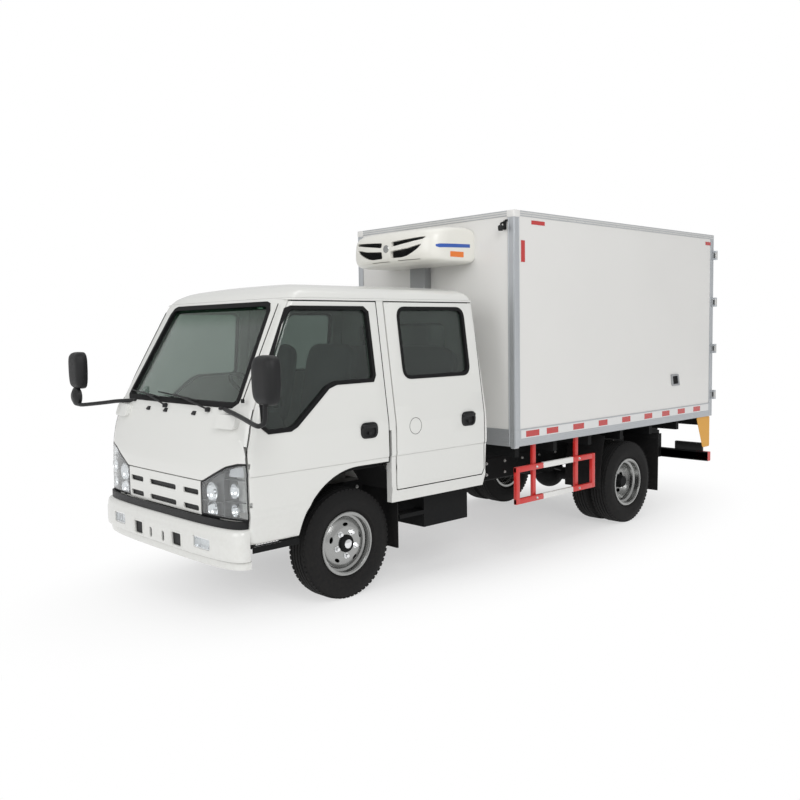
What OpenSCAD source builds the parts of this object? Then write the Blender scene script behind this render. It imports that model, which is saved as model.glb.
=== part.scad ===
// Refrigerated light truck: forward-control crew cab, twin-wheel rear axle and insulated box.
// +X is forward, +Y is the truck's left and +Z is up. The origin is on the ground,
// under the middle of the overall length.

/* [Overall] */
// Length from the bumper to the underride bar
overall_l = 5990; // [5900:10:6100]
// Distance between the axles
wheelbase = 3360; // [3300:10:3400]
// Bumper face ahead of the front axle
front_overhang = 1005; // [1000:5:1030]

/* [Wheels] */
// Tyre outside diameter
tyre_d = 768; // [740:2:776]
// Tyre width
tyre_w = 200; // [180:2:206]
// Rim diameter over the flanges
rim_d = 442; // [430:2:450]
// Rim width over the flanges
rim_w = 156; // [146:2:162]
// Front tyres, centre to centre
front_track = 1470; // [1460:2:1480]
// Rear twin tyres, middle to middle
rear_track = 1458; // [1450:2:1462]
// Spacing of the two tyres of a twin wheel
twin_pitch = 214; // [212:1:218]
// Kingpin, inboard of the front tyre's middle
kingpin_offset = 90; // [85:1:95]
// Front spindle radius
spindle_r = 28; // [24:1:32]
// Rear spindle radius
rear_spindle_r = 36; // [30:1:40]
// Radial play of a hub on its spindle
bearing_play = 0.2; // [0.1:0.05:0.3]

/* [Chassis] */
// Chassis width over the rails
frame_w = 700; // [690:5:710]
// Rail height
rail_h = 180; // [160:5:190]
// Top of the rails above the ground
rail_top = 700; // [695:1:705]
// Rail flange width
rail_flange = 60; // [50:1:65]
// Rail plate thickness
rail_t = 8; // [6:1:10]

/* [Cab] */
// Cab width
cab_w = 1850; // [1830:5:1870]
// Roof height above the ground
cab_h = 2192; // [2180:2:2210]
// Cab wall and door thickness
cab_wall = 60; // [50:1:64]
// Gap around the cab doors
door_gap = 8; // [7:0.5:10]
// Glass thickness
glass_t = 6; // [5:1:8]

/* [Box] */
// Box length outside
box_l = 3272; // [3200:2:3290]
// Box width outside
box_w = 1888; // [1880:2:1900]
// Box height outside
box_h = 1889; // [1850:1:1950]
// Box floor underside above the ground
box_z = 892; // [880:1:900]
// Insulated wall thickness
panel_t = 80; // [60:1:90]
// Insulated floor thickness
floor_t = 96; // [80:1:110]
// Edge extrusion sheet thickness
edge_t = 4; // [3:0.5:5]
// Gap between the cab and the box
cab_gap = 300; // [290:2:320]
// Half gap between the two rear doors
leaf_gap = 9; // [8:0.5:12]

/* [Refrigeration] */
// Condenser unit width
unit_w = 1040; // [960:5:1100]
// Condenser unit depth
unit_d = 520; // [480:5:540]
// Condenser unit height
unit_h = 315; // [290:5:330]

/* [Hidden] */
$fn = 48;

LEFT = 1;
RIGHT = -1;
BIG = 4000;                 // longer than any cut has to reach
SEAT = 0.3;                 // play left where a piece sits against a curved one

axle_x = overall_l / 2 - front_overhang;
rear_x = axle_x - wheelbase;
wheel_z = tyre_d / 2;
front_y = front_track / 2;
rear_y = rear_track / 2;
kingpin_y = front_y - kingpin_offset;
rail_bottom = rail_top - rail_h;
rail_y = frame_w / 2;

cab_y = cab_w / 2;
cab_back = -1362;           // rear wall, from the front axle
sill_z = 634;
drip_z = 2068;
box_front = axle_x + cab_back - cab_gap;
box_back = box_front - box_l;
box_y = box_w / 2;
box_top = box_z + box_h;
load_z = box_z + floor_t;
ceiling_z = box_top - panel_t;

// ---------------------------------------------------------------- helpers

// Children drawn for the left side, mirrored for the right.
module sided(side) {
    if (side == LEFT) children();
    else mirror([0, 1, 0]) children();
}

module both_sides() {
    children();
    mirror([0, 1, 0]) children();
}

// A block from its low and high corners.
module block(lo, hi) {
    translate(lo) cube(hi - lo);
}

// A side outline, x and z measured from the front axle and the ground, given a width in y.
module across(y0, y1) {
    translate([axle_x, y1, 0]) rotate([90, 0, 0]) linear_extrude(y1 - y0) children();
}

// A front outline, y and z, given a length in x measured from the front axle.
module along(x0, x1) {
    translate([axle_x + x0, 0, 0]) rotate([90, 0, 90]) linear_extrude(x1 - x0) children();
}

// Points on an arc, angles in degrees.
function arc(centre, r, a0, a1, n) =
    [for (i = [0 : n]) let (a = a0 + (a1 - a0) * i / n) centre + r * [cos(a), sin(a)]];

// A rectangle between two corners with rounded corners.
module round_rect(lo, hi, r) {
    polygon(concat(
        arc([hi.x - r, hi.y - r], r, 0, 90, 5), arc([lo.x + r, hi.y - r], r, 90, 180, 5),
        arc([lo.x + r, lo.y + r], r, 180, 270, 5), arc([hi.x - r, lo.y + r], r, 270, 360, 5)));
}

// A round bar from one point to another.
module bar(from, to, r) {
    d = to - from;
    h = norm(d);
    translate(from) rotate([0, acos(d.z / h), atan2(d.y, d.x)]) cylinder(h = h, r = r);
}

// A round tube bent through a list of points.
module bent_tube(points, r) {
    for (i = [0 : len(points) - 2]) bar(points[i], points[i + 1], r);
    for (i = [1 : len(points) - 2]) translate(points[i]) sphere(r = r * 1.05);
}

// A body of revolution about a wheel's axle, from a profile in (radius, outward offset).
module wheel_turn(centre_y) {
    translate([0, centre_y, 0]) rotate([-90, 0, 0]) rotate_extrude($fn = 96) children();
}

// ---------------------------------------------------------------- cab envelope

pillar_top = [458, 2046];
pillar_foot = [838, 1368];
nose_x = 945;               // front panel, from the front axle
roof_crown = 28;            // rise of the roof from its sides to its middle
shoulder_z = 1200;          // the sides lean in above this height
tumblehome = 125;           // and have moved in by this much at the drip rail

// Cab outline from the side.
module cab_side_outline() {
    polygon([
        [-1296, 540], [-1362, 700], [-1380, 1030], [-1366, 1500], [-1338, 2060],
        [-1318, 2112], [-1275, 2146], [-1180, cab_h - 24], [-700, cab_h - 6], [-100, cab_h],
        [150, cab_h - 12], [320, cab_h - 42], [412, 2102], pillar_top, pillar_foot,
        [872, 1290], [908, 1160], [934, 1010], [nose_x, 900], [nose_x, 680], [930, 540]
    ]);
}

// Cab outline from the front, one side then the other.
module cab_front_outline() {
    half = [
        [cab_y, 300], [cab_y, shoulder_z], [cab_y - tumblehome, 2062],
        [cab_y - tumblehome - 26, 2112], [cab_y - tumblehome - 90, 2142],
        [cab_y - 420, cab_h - roof_crown + 8], [200, cab_h + 2]
    ];
    polygon(concat(half, [for (i = [len(half) - 1 : -1 : 0]) [-half[i].x, half[i].y]]));
}

// Cab outline from above, with its rounded front corners.
module cab_plan_outline() {
    half = [
        [-1400, cab_y - 60], [-1365, cab_y - 20], [-1320, cab_y], [800, cab_y], [850, cab_y - 6],
        [884, cab_y - 36], [912, cab_y - 110], [932, cab_y - 240], [nose_x, cab_y - 460]
    ];
    polygon(concat(half, [for (i = [len(half) - 1 : -1 : 0]) [half[i].x, -half[i].y]]));
}

// Windscreen and pillar section, square to the windscreen's slope.
module pillar_section() {
    half = [
        [-2600, 1000], [-260, 1000], [-104, cab_y - 40], [-62, cab_y - 90], [-34, cab_y - 170],
        [-14, cab_y - 300], [0, cab_y - 560]
    ];
    polygon(concat(half, [for (i = [len(half) - 1 : -1 : 0]) [half[i].x, -half[i].y]]));
}

// The cab as a solid, with every face moved in by the inset.
module cab_solid(inset) {
    slope = atan2(pillar_foot.x - pillar_top.x, pillar_top.y - pillar_foot.y);
    intersection() {
        across(-1000, 1000) offset(delta = -inset) cab_side_outline();
        along(-1500, 1100) offset(delta = -inset) cab_front_outline();
        translate([axle_x, 0, 500]) linear_extrude(1750) offset(delta = -inset) cab_plan_outline();
        translate([axle_x + pillar_foot.x, 0, pillar_foot.y]) rotate([0, -slope, 0])
            translate([0, 0, -1600]) linear_extrude(3400) offset(delta = -inset) pillar_section();
    }
}

// A layer of the cab envelope between two depths.
module cab_layer(outer, inner) {
    difference() {
        cab_solid(outer);
        cab_solid(inner);
        // The layer has no bottom: the floor pan closes the cab.
        translate([axle_x - 1340 + inner, -cab_y + inner, 400])
            cube([2260 - inner, cab_w - 2 * inner, 600]);
    }
}

// The space outside the left or right side wall's inner face, at a depth from the outer skin.
module side_zone(depth) {
    along(-1500, 1100) difference() {
        translate([0, 300]) square([1200, 2000]);
        offset(delta = -depth) cab_front_outline();
    }
}

// ---------------------------------------------------------------- cab openings

door_front = 847;           // front door's leading edge, from the front axle
post_front = -305;          // front door's rear edge
post_back = -385;           // rear door's leading edge
door_back = -1310;          // rear door's rear edge
door_top = 2045;
front_door_z = 540;
rear_door_z = 724;
arch_c = [-30, 400];
arch_r = 532;
arch_back = -332;

// Opening over the front wheel, from the side.
module arch_outline() {
    intersection() {
        polygon(concat(
            [[arch_back, 300], [arch_c.x + arch_r, 300]], arc(arch_c, arch_r, 0, 90, 16),
            [[arch_back, arch_c.y + arch_r]]));
        translate([-600, 350]) square([1300, 620]);
    }
}

module front_door_outline() {
    difference() {
        polygon([
            [door_front, front_door_z], [door_front, 1372], [800, 1440], [655, 1700],
            [548, 1900], [462, door_top], [post_front, door_top], [post_front, front_door_z]
        ]);
        arch_outline();
    }
}

module rear_door_outline() {
    polygon([
        [post_back, rear_door_z], [post_back, door_top], [door_back, door_top],
        [door_back, rear_door_z + 40], [door_back + 30, rear_door_z]
    ]);
}

module front_window_outline() {
    polygon([
        [-185, 2006], [-222, 1975], [-226, 1540], [-205, 1503], [120, 1500], [190, 1478],
        [300, 1390], [480, 1250], [530, 1228], [700, 1226], [742, 1262], [732, 1400],
        [600, 1730], [515, 1905], [452, 1990], [425, 2006]
    ]);
}

module rear_window_outline() {
    round_rect([-1195, 1505], [-505, 2006], 55);
}

// Windscreen from the front.
module windscreen_outline() {
    polygon([
        [-690, 1385], [690, 1385], [728, 1412], [728, 1440], [646, 1985], [618, 2028],
        [580, 2040], [-580, 2040], [-618, 2028], [-646, 1985], [-728, 1440], [-728, 1412]
    ]);
}

// Cab rear window from behind.
module back_window_outline() {
    round_rect([-520, 1480], [520, 1900], 60);
}

lamp_in_y = 490;
lamp_z = 690;
panel_z = 912;

// Left headlamp from the front.
module lamp_outline() {
    polygon([
        [lamp_in_y, lamp_z], [960, lamp_z], [960, 1052], [840, 1046], [740, 1022],
        [lamp_in_y + 30, panel_z + 6], [lamp_in_y, panel_z - 4]
    ]);
}

// ---------------------------------------------------------------- cab

floor_z = 740;              // footwell floor underside
riser_z = 945;              // underside of the raised floor over the wheels and engine
pan_t = 50;
riser_front = 500;
riser_back = -505;
firewall_x = 790;

// Floor pan from the side: footwells front and rear, and the raised seat floor between them.
module floor_outline() {
    difference() {
        polygon([
            [firewall_x + 55, floor_z], [firewall_x + 55, floor_z + pan_t],
            [riser_front, floor_z + pan_t], [riser_front, riser_z + pan_t],
            [riser_back, riser_z + pan_t], [riser_back, floor_z + pan_t],
            [cab_back + 30, floor_z + pan_t], [cab_back + 30, floor_z]
        ]);
        translate([riser_back + pan_t, 0]) square([riser_front - riser_back - 2 * pan_t, riser_z]);
    }
}

inner_y = cab_y - cab_wall;

module cab_body() {
    color("white") {
        difference() {
            cab_layer(0, cab_wall);
            both_sides() {
                door_opening() front_door_outline();
                door_opening() rear_door_outline();
                across(500, 1000) arch_outline();
            }
            along(380, 1000) windscreen_outline();
            along(cab_back - 100, cab_back + 200) back_window_outline();
            // The roof, the front end and the space under the sills belong to other pieces.
            block([axle_x - 1500, -1000, drip_z], [axle_x + 1000, 1000, BIG]);
            block([axle_x + door_front + door_gap, -1000, 0], [axle_x + 1200, 1000, 1345]);
            block([axle_x - 1500, -1000, 0], [axle_x + arch_back + 1, 1000, sill_z]);
            block([axle_x + arch_back, -1000, 0], [axle_x + door_front + 20, 1000, 1150]);
            block([axle_x - 1500, -inner_y + 8, 0], [axle_x + riser_back, inner_y - 8, floor_z]);
        }
        // Floor pan, kept clear of the doors.
        difference() {
            across(-inner_y + 8, inner_y - 8) floor_outline();
            block([axle_x - 1500, -BIG, 0], [axle_x + cab_back + cab_wall - 1, BIG, BIG]);
        }
        // The sills under the rear doors carry the ends of the rear footwell.
        both_sides() {
            block([axle_x + cab_back + cab_wall - 1, inner_y - 10, 660],
                  [axle_x + riser_back, inner_y - 6, floor_z + 5]);
            block([axle_x + cab_back + cab_wall - 1, inner_y - 10, 660],
                  [axle_x + riser_back, inner_y + 1, 700]);
        }
        firewall();
        both_sides() {
            step();
            for (z = front_hinge_z) door_lug(door_front - hinge_in, z);
            for (z = rear_hinge_z) {
                door_lug(post_back - hinge_in, z);
                // The rear door's lugs stand on the post between the doors.
                block([axle_x + post_back - hinge_in - 7, inner_y - 16, z - lug_h / 2],
                      [axle_x + post_back + 42, inner_y - 6, z + lug_h / 2]);
                block([axle_x + post_back + door_gap + 5, inner_y - 7, z - lug_h / 2],
                      [axle_x + post_back + 42, inner_y + 1, z + lug_h / 2]);
            }
        }
    }
}

// Opening for a door, all through the side wall.
module door_opening() {
    intersection() {
        across(300, 1000) offset(delta = door_gap) children();
        side_zone(cab_wall + door_gap);
    }
}

// Wall between the cab and the front panel.
module firewall() {
    intersection() {
        cab_solid(0);
        along(firewall_x, door_front + door_gap) intersection() {
            offset(delta = -cab_wall - 10) cab_front_outline();
            translate([-cab_y, floor_z]) square([cab_w, 1372 - floor_z]);
        }
    }
}

// Boarding step ahead of the front wheel, hung from the floor.
module step() {
    block([axle_x + 505, 560, 487], [axle_x + door_front, cab_y - 8, 530]);
    block([axle_x + 505, 560, 487], [axle_x + door_front, 600, floor_z + 1]);
}

module cab_roof() {
    color("white") intersection() {
        cab_layer(0, cab_wall);
        block([axle_x - 1500, -1000, drip_z], [axle_x + 1000, 1000, BIG]);
    }
}

// Everything of the cab's shell ahead of the doors, between two heights.
module nose_layer(z0, z1, depth) {
    intersection() {
        cab_layer(0, depth);
        block([axle_x + door_front + door_gap, -1000, z0], [axle_x + 1200, 1000, z1]);
    }
}

module front_panel() {
    color("white") {
        difference() {
            nose_layer(panel_z, 1345, cab_wall);
            both_sides() along(700, 1200) lamp_outline();
        }
        both_sides() vent_pod();
    }
}

// Rounded cover on the front panel under the windscreen's corner.
module vent_pod() {
    difference() {
        translate([axle_x + 800, 0, 0]) rotate([90, 0, 90]) linear_extrude(128)
            round_rect([575, 1250], [815, 1340], 24);
        cab_solid(20);
        block([axle_x, -1000, 0], [axle_x + door_front + door_gap, 1000, BIG]);
    }
}

module grille() {
    slot_z = [715, 820];
    color("white") difference() {
        intersection() {
            nose_layer(lamp_z, panel_z - 5, 40);
            block([axle_x, -lamp_in_y, 0], [axle_x + 1200, lamp_in_y, BIG]);
        }
        for (z = slot_z) {
            along(700, 1200) round_rect([-172, z], [172, z + 30], 5);
            both_sides() along(700, 1200) round_rect([282, z], [462, z + 30], 5);
        }
    }
}

module headlamps() {
    color("lightgray") both_sides() difference() {
        intersection() {
            cab_solid(0);
            along(door_front + door_gap, 1200) lamp_outline();
        }
        block([axle_x + 600, 0, 0], [axle_x + door_front + door_gap, 880, BIG]);
    }
}

module cab_glass() {
    color("darkslategray") {
        intersection() {
            cab_layer(18, 18 + glass_t);
            along(380, 1000) windscreen_outline();
        }
        intersection() {
            cab_layer(18, 18 + glass_t);
            along(cab_back - 100, cab_back + 200) back_window_outline();
        }
    }
}

// ---------------------------------------------------------------- cab doors

// A door's hinge axis is behind its leading edge and just inside the cab's widest line.

hinge_in = 30;
hinge_y = cab_y - 10;
front_hinge_z = [790, 1030];
rear_hinge_z = [880, 1160];
lug_h = 30;
door_pin_r = 4;
door_skin = 24;             // depth of a door's full outline
door_return = 14;           // its inner frame is this much smaller, to swing past the posts

// The body's lug that reaches round a door's hinge pin.
module door_lug(x, z) {
    difference() {
        union() {
            block([axle_x + x - 7, inner_y - 16, z - lug_h / 2], [axle_x + x + 7, hinge_y, z + lug_h / 2]);
            translate([axle_x + x, hinge_y, z]) cylinder(h = lug_h, r = 7.5, center = true);
        }
        translate([axle_x + x, hinge_y, z])
            cylinder(h = lug_h + 2, r = door_pin_r + bearing_play, center = true);
    }
}

// A door from its outline and its window: the outer skin, then a smaller inner frame.
module door_leaf(side, front, hinge_z) {
    color("white") sided(side) for (z = hinge_z) translate([axle_x + front - hinge_in, hinge_y, z])
        cylinder(h = lug_h + 10, r = door_pin_r, center = true);
    color("white") sided(side) difference() {
        union() {
            intersection() {
                cab_solid(0);
                side_zone(door_skin);
                across(300, 1000) children(0);
            }
            intersection() {
                cab_solid(0);
                side_zone(cab_wall);
                across(300, 1000) offset(delta = -door_return) children(0);
            }
        }
        across(300, 1000) children(1);
        // Pockets that the hinge lugs sweep through as the door swings.
        for (z = hinge_z)
            block([axle_x + front - hinge_in - 12, inner_y - 1, z - lug_h / 2 - 1],
                  [axle_x + front + 1, hinge_y + 8.5, z + lug_h / 2 + 1]);
    }
}

module front_door(side) {
    door_leaf(side, door_front, front_hinge_z) {
        front_door_outline();
        front_window_outline();
    }
}

module rear_door(side) {
    door_leaf(side, post_back, rear_hinge_z) {
        rear_door_outline();
        rear_window_outline();
    }
}

module door_glass(side) {
    color("darkslategray") sided(side) intersection() {
        cab_solid(0);
        difference() {
            side_zone(door_skin);
            side_zone(door_skin - glass_t);
        }
        across(300, 1000) children();
    }
}

// ---------------------------------------------------------------- front end

bumper_top = 640;
bumper_bottom = 384;
bumper_t = 40;

// Bumper outline from above, wrapping round to the doors.
module bumper_plan(inset) {
    half = [
        [door_front + 14, 918], [front_overhang - 96, 912], [front_overhang - 52, 872],
        [front_overhang - 24, 760], [front_overhang - 6, 480], [front_overhang, 200]
    ];
    offset(delta = -inset)
        polygon(concat(half, [for (i = [len(half) - 1 : -1 : 0]) [half[i].x, -half[i].y]]));
}

module front_bumper() {
    color("white") difference() {
        union() {
            translate([axle_x, 0, bumper_bottom + 62]) linear_extrude(bumper_top - bumper_bottom - 62)
                bumper_plan(0);
            translate([axle_x, 0, bumper_bottom]) linear_extrude(62) bumper_plan(14);
        }
        // Hollow behind its face: the rails' ends carry it.
        translate([axle_x, 0, bumper_bottom - 10]) linear_extrude(bumper_top) bumper_plan(bumper_t);
        block([axle_x + 700, -918 + bumper_t, 300],
              [axle_x + door_front + 14 + bumper_t, 918 - bumper_t, bumper_top + 1]);
        for (y = [-262, 262]) along(800, 1100) round_rect([y - 58, 462], [y + 58, 546], 8);
        for (y = [-85, 85]) along(800, 1100) round_rect([y - 11, 468], [y + 11, 524], 9);
        both_sides() along(800, 1100) fog_outline();
    }
}

module fog_outline() {
    polygon([[472, 490], [655, 486], [655, 560], [472, 566]]);
}

module fog_lamps() {
    color("lightgray") both_sides() intersection() {
        translate([axle_x, 0, 450]) linear_extrude(160) difference() {
            bumper_plan(14);
            bumper_plan(bumper_t);
        }
        along(front_overhang - 90, 1100) fog_outline();
    }
}

mirror_x = 960;
mirror_y = 1270;
mirror_z = [1400, 1730];

module mirrors() {
    tube_r = 11;
    path = [
        [axle_x + 768, 770, 1390], [axle_x + 905, 950, 1350], [axle_x + mirror_x + 8, 1180, 1312],
        [axle_x + mirror_x + 4, mirror_y - 24, 1322], [axle_x + mirror_x, mirror_y, 1362],
        [axle_x + mirror_x, mirror_y, mirror_z[0] + 20]
    ];
    color("dimgray") both_sides() {
        difference() {
            bent_tube(path, tube_r);
            cab_solid(-SEAT);
        }
        translate([axle_x + mirror_x - 40, 0, 0]) rotate([90, 0, 90]) linear_extrude(80)
            round_rect([mirror_y - 128, mirror_z[0]], [mirror_y + 128, mirror_z[1]], 46);
    }
}

// ---------------------------------------------------------------- cab inside

module dashboard() {
    color("dimgray") intersection() {
        across(-inner_y, inner_y) dash_outline();
        cab_solid(cab_wall + 6);
    }
}

module dash_outline() {
    polygon([
        [firewall_x, 960], [firewall_x, 1240], [748, 1330], [700, 1352], [570, 1340],
        [520, 1240], [540, 1120], [690, 1040], [720, 960]
    ]);
}

wheel_hub = [430, 390, 1450];
column_tilt = 38;

module steering_wheel() {
    rim_r = 195;
    grip_r = 14;
    color("dimgray") difference() {
        translate([axle_x, 0, 0] + wheel_hub) rotate([0, 180 - column_tilt, 0]) {
            rotate_extrude($fn = 64) translate([rim_r, 0]) circle(r = grip_r, $fn = 24);
            translate([0, 0, -12]) cylinder(h = 30, r = 52);
            for (a = [0, 120, 240]) rotate([0, 0, a + 60]) translate([30, -14, -6])
                cube([rim_r - 34, 28, 12]);
            cylinder(h = 300, r = 26);
        }
        across(-BIG, BIG) offset(delta = SEAT) dash_outline();
    }
}

seat_base = riser_z + pan_t;

// Cushion and back of one seat, its width given in y.
module seat(x_front, depth, base, y0, y1, back_top) {
    cushion_t = 150;
    across(y0, y1) polygon([
        [x_front, base], [x_front, base + cushion_t], [x_front - depth + 130, base + cushion_t - 15],
        [x_front - depth - 20, back_top], [x_front - depth - 120, back_top],
        [x_front - depth, base + 40], [x_front - depth, base]
    ]);
}

module seats() {
    color("gray") {
        seat(330, 480, seat_base, 130, 640, 1760);
        seat(330, 480, seat_base, -640, -90, 1760);
        seat(-755, 400, floor_z + pan_t + 300, -700, 700, 1720);
        across(-700, 700) translate([-1155, floor_z + pan_t]) square([380, 300]);
    }
}

// ---------------------------------------------------------------- chassis

rail_front = front_overhang - 43.5;
rail_end = -wheelbase - 1540;
member_t = 60;
member_x = [700, -1120, -1700, -2300, -2900, -3900, -4700];
lift_x = [-4600, -4480];    // tail lift bolts, from the front axle
lift_z = [570, 650];
lift_hole_r = 7;

module chassis_frame() {
    color("dimgray") {
        both_sides() difference() {
            block([axle_x + rail_end, rail_y - rail_flange, rail_bottom],
                  [axle_x + rail_front, rail_y, rail_top]);
            block([axle_x + rail_end - 1, rail_y - rail_flange - 1, rail_bottom + rail_t],
                  [axle_x + rail_front + 1, rail_y - rail_t, rail_top - rail_t]);
            // The rails' ends step down under the grille.
            block([axle_x + door_front, 0, lamp_z - 25],
                  [axle_x + rail_front + 1, rail_y + 1, rail_top + 1]);
            // Bolt holes through the webs for a tail lift's bracket.
            for (x = lift_x, z = lift_z) translate([axle_x + x, rail_y - rail_t - 1, z])
                rotate([-90, 0, 0]) cylinder(h = rail_t + 2, r = lift_hole_r);
        }
        // Cross members fill the channels and run from web to web.
        for (x = member_x)
            block([axle_x + x - member_t / 2, -rail_y + rail_t - 1, rail_bottom + rail_t - 1],
                  [axle_x + x + member_t / 2, rail_y - rail_t + 1, rail_top - 40]);
        // Cab mounts stand on the rails under the floor.
        both_sides() for (x = [640, -1240])
            block([axle_x + x - 40, rail_y - 50, rail_top - 1], [axle_x + x + 40, rail_y, floor_z]);
    }
}

runner_h = box_z - rail_top - 92;
bearer_x = [for (i = [0 : 6]) -70 - i * (box_l - 200) / 6];

module box_subframe() {
    color("dimgray") {
        both_sides() block([box_back + 60, rail_y - 55, rail_top],
                           [box_front - 20, rail_y - 5, rail_top + runner_h]);
        for (x = bearer_x) block([box_front + x - 25, -box_y + 40, rail_top + runner_h - 1],
                                 [box_front + x + 25, box_y - 40, box_z]);
    }
}

engine_w = 520;

module engine_block() {
    color("gray") {
        block([axle_x - 450, -engine_w / 2, 470], [axle_x + 400, engine_w / 2, riser_z - 12]);
        block([axle_x - 1010, -150, 400], [axle_x - 449, 150, 690]);
        both_sides() block([axle_x - 60, engine_w / 2 - 1, 560], [axle_x + 60, rail_y - rail_t, 640]);
    }
}

shaft_z = 450;

module drive_shaft() {
    flange_t = 16;
    x0 = rear_x + 240;
    x1 = axle_x - 1010;
    color("dimgray") translate([x0, 0, shaft_z]) rotate([0, 90, 0]) {
        cylinder(h = x1 - x0, r = 34);
        for (x = [0, x1 - x0 - flange_t]) translate([0, 0, x]) cylinder(h = flange_t, r = 58);
    }
}

// ---------------------------------------------------------------- axles and springs

pin_r = 15;
boss_r = 32;
boss_h = 110;
beam_z = wheel_z - 64;      // middle of the front beam
beam_h = 74;
front_spring_y = rail_y - 35;

module front_axle() {
    color("dimgray") difference() {
        union() {
            translate([axle_x - 32, -kingpin_y, beam_z - beam_h / 2]) cube([64, 2 * kingpin_y, beam_h]);
            both_sides() translate([axle_x, kingpin_y, wheel_z - boss_h / 2])
                cylinder(h = boss_h, r = boss_r);
            both_sides() block([axle_x - 70, front_spring_y - 38, beam_z],
                               [axle_x + 70, front_spring_y + 38, beam_z + beam_h / 2 + 8]);
        }
        // The beam's ends are round where the knuckles turn about them.
        both_sides() translate([axle_x, kingpin_y, 0]) cylinder(h = wheel_z - boss_h / 2, r = 110);
        both_sides() translate([axle_x, kingpin_y, 0]) cylinder(h = BIG, r = pin_r + bearing_play);
    }
}

tube_r = 58;
rear_spring_y = 450;
drum_r = rim_d / 2 - 53;

module rear_axle() {
    color("dimgray") {
        translate([rear_x, 0, wheel_z]) rotate([-90, 0, 0]) {
            translate([0, 0, -505]) cylinder(h = 1010, r = tube_r);
            translate([0, 0, -rear_y - 120]) cylinder(h = 2 * (rear_y + 120), r = rear_spindle_r);
        }
        translate([rear_x, 0, wheel_z]) sphere(r = 150);
        translate([rear_x, 0, shaft_z]) rotate([0, 90, 0]) cylinder(h = 240, r = 62);
        both_sides() block([rear_x - 75, rear_spring_y - 38, wheel_z],
                           [rear_x + 75, rear_spring_y + 38, wheel_z + tube_r + 12]);
    }
}

// A pack of leaves as one curved bar, its middle on the seat and its ends at two hangers.
module spring_pack(span, seat_z, rise) {
    n = 12;
    leaf = 14;
    top = [for (i = [-n : n]) [i * span / n, seat_z + 3 * leaf + rise * pow(i / n, 2)]];
    low = [for (i = [n : -1 : -n])
        [i * span / n, seat_z + rise * pow(i / n, 2) + leaf * (abs(i) > 9 ? 2 : abs(i) > 5 ? 1 : 0)]];
    polygon(concat(top, low));
}

module leaf_springs() {
    leaf_w = 64;
    front_seat = beam_z + beam_h / 2 + 8;
    rear_seat = wheel_z + tube_r + 12;
    front_span = 560;
    rear_span = 600;
    color("dimgray") both_sides() {
        across(front_spring_y - leaf_w / 2, front_spring_y + leaf_w / 2)
            spring_pack(front_span, front_seat, rail_bottom - front_seat - 60);
        for (x = [-front_span, front_span])
            block([axle_x + x - 30, front_spring_y - leaf_w / 2, rail_bottom - 34],
                  [axle_x + x + 30, front_spring_y + leaf_w / 2, rail_bottom]);
        translate([-wheelbase, 0, 0]) {
            across(rear_spring_y - leaf_w / 2, rear_spring_y + leaf_w / 2)
                spring_pack(rear_span, rear_seat, 60);
            for (x = [-rear_span, rear_span])
                block([axle_x + x - 30, rail_y, rear_seat + 60], [axle_x + x + 30,
                      rear_spring_y + leaf_w / 2, rear_seat + 130]);
        }
    }
}

// Kingpin, fork and spindle of one front wheel.
module knuckle(side) {
    ear = 24;
    gap = 0.5;
    web = 20;
    reach = boss_r + 10;
    lo = wheel_z - boss_h / 2 - gap;
    hi = wheel_z + boss_h / 2 + gap;
    color("gray") sided(side) translate([axle_x, kingpin_y, 0]) {
        translate([0, 0, lo - ear]) cylinder(h = hi - lo + 2 * ear, r = pin_r);
        for (z = [lo - ear, hi]) translate([0, 0, z]) {
            cylinder(h = ear, r = boss_r);
            translate([-boss_r, 0, 0]) cube([2 * boss_r, reach + web, ear]);
        }
        translate([-boss_r, reach, lo - ear]) cube([2 * boss_r, web, hi - lo + 2 * ear]);
        translate([0, reach + web - 1, wheel_z]) rotate([-90, 0, 0])
            cylinder(h = kingpin_offset + 52 - reach - web, r = spindle_r);
    }
}

// ---------------------------------------------------------------- wheels

flange_r = rim_d / 2;
seat_r = flange_r - 17;
well_r = seat_r - 22;
sheet = 7;
half_rim = rim_w / 2;
crown_r = well_r - 70;      // outside of a disc's flat middle
wheel_drum_r = well_r - 32;

// Rim barrel as a profile of (radius, offset along the axle).
module rim_profile() {
    polygon([
        [flange_r, -half_rim], [flange_r, -half_rim + sheet], [seat_r, -half_rim + sheet + 4],
        [seat_r, -34], [well_r, -22], [well_r, 22], [seat_r, 34], [seat_r, half_rim - sheet - 4],
        [flange_r, half_rim - sheet], [flange_r, half_rim], [seat_r - sheet, half_rim - 2],
        [seat_r - sheet, 36], [well_r - sheet, 25], [well_r - sheet, -25], [seat_r - sheet, -36],
        [seat_r - sheet, -half_rim + 2]
    ]);
}

// Dished disc between the rim and the hub; crown is how far it stands out from its edge.
module disc_profile(edge, crown) {
    r = well_r - sheet + 1;
    polygon([
        [r, edge - sheet], [r, edge + 3], [r - 26, edge + crown * 0.55], [crown_r, edge + crown],
        [58, edge + crown], [58, edge + crown - sheet - 2], [crown_r - 2, edge + crown - sheet - 2],
        [r - 32, edge + crown * 0.55 - sheet]
    ]);
}

// Oval hand holes through a disc.
module hand_holes(y) {
    count = 5;
    for (i = [0 : count - 1]) translate([0, y, 0]) rotate([0, i * 360 / count, 0])
        translate([0, 0, crown_r + 20]) rotate([90, 0, 0]) translate([0, 0, -60])
            cylinder(h = 120, r = 13);
}

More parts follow.
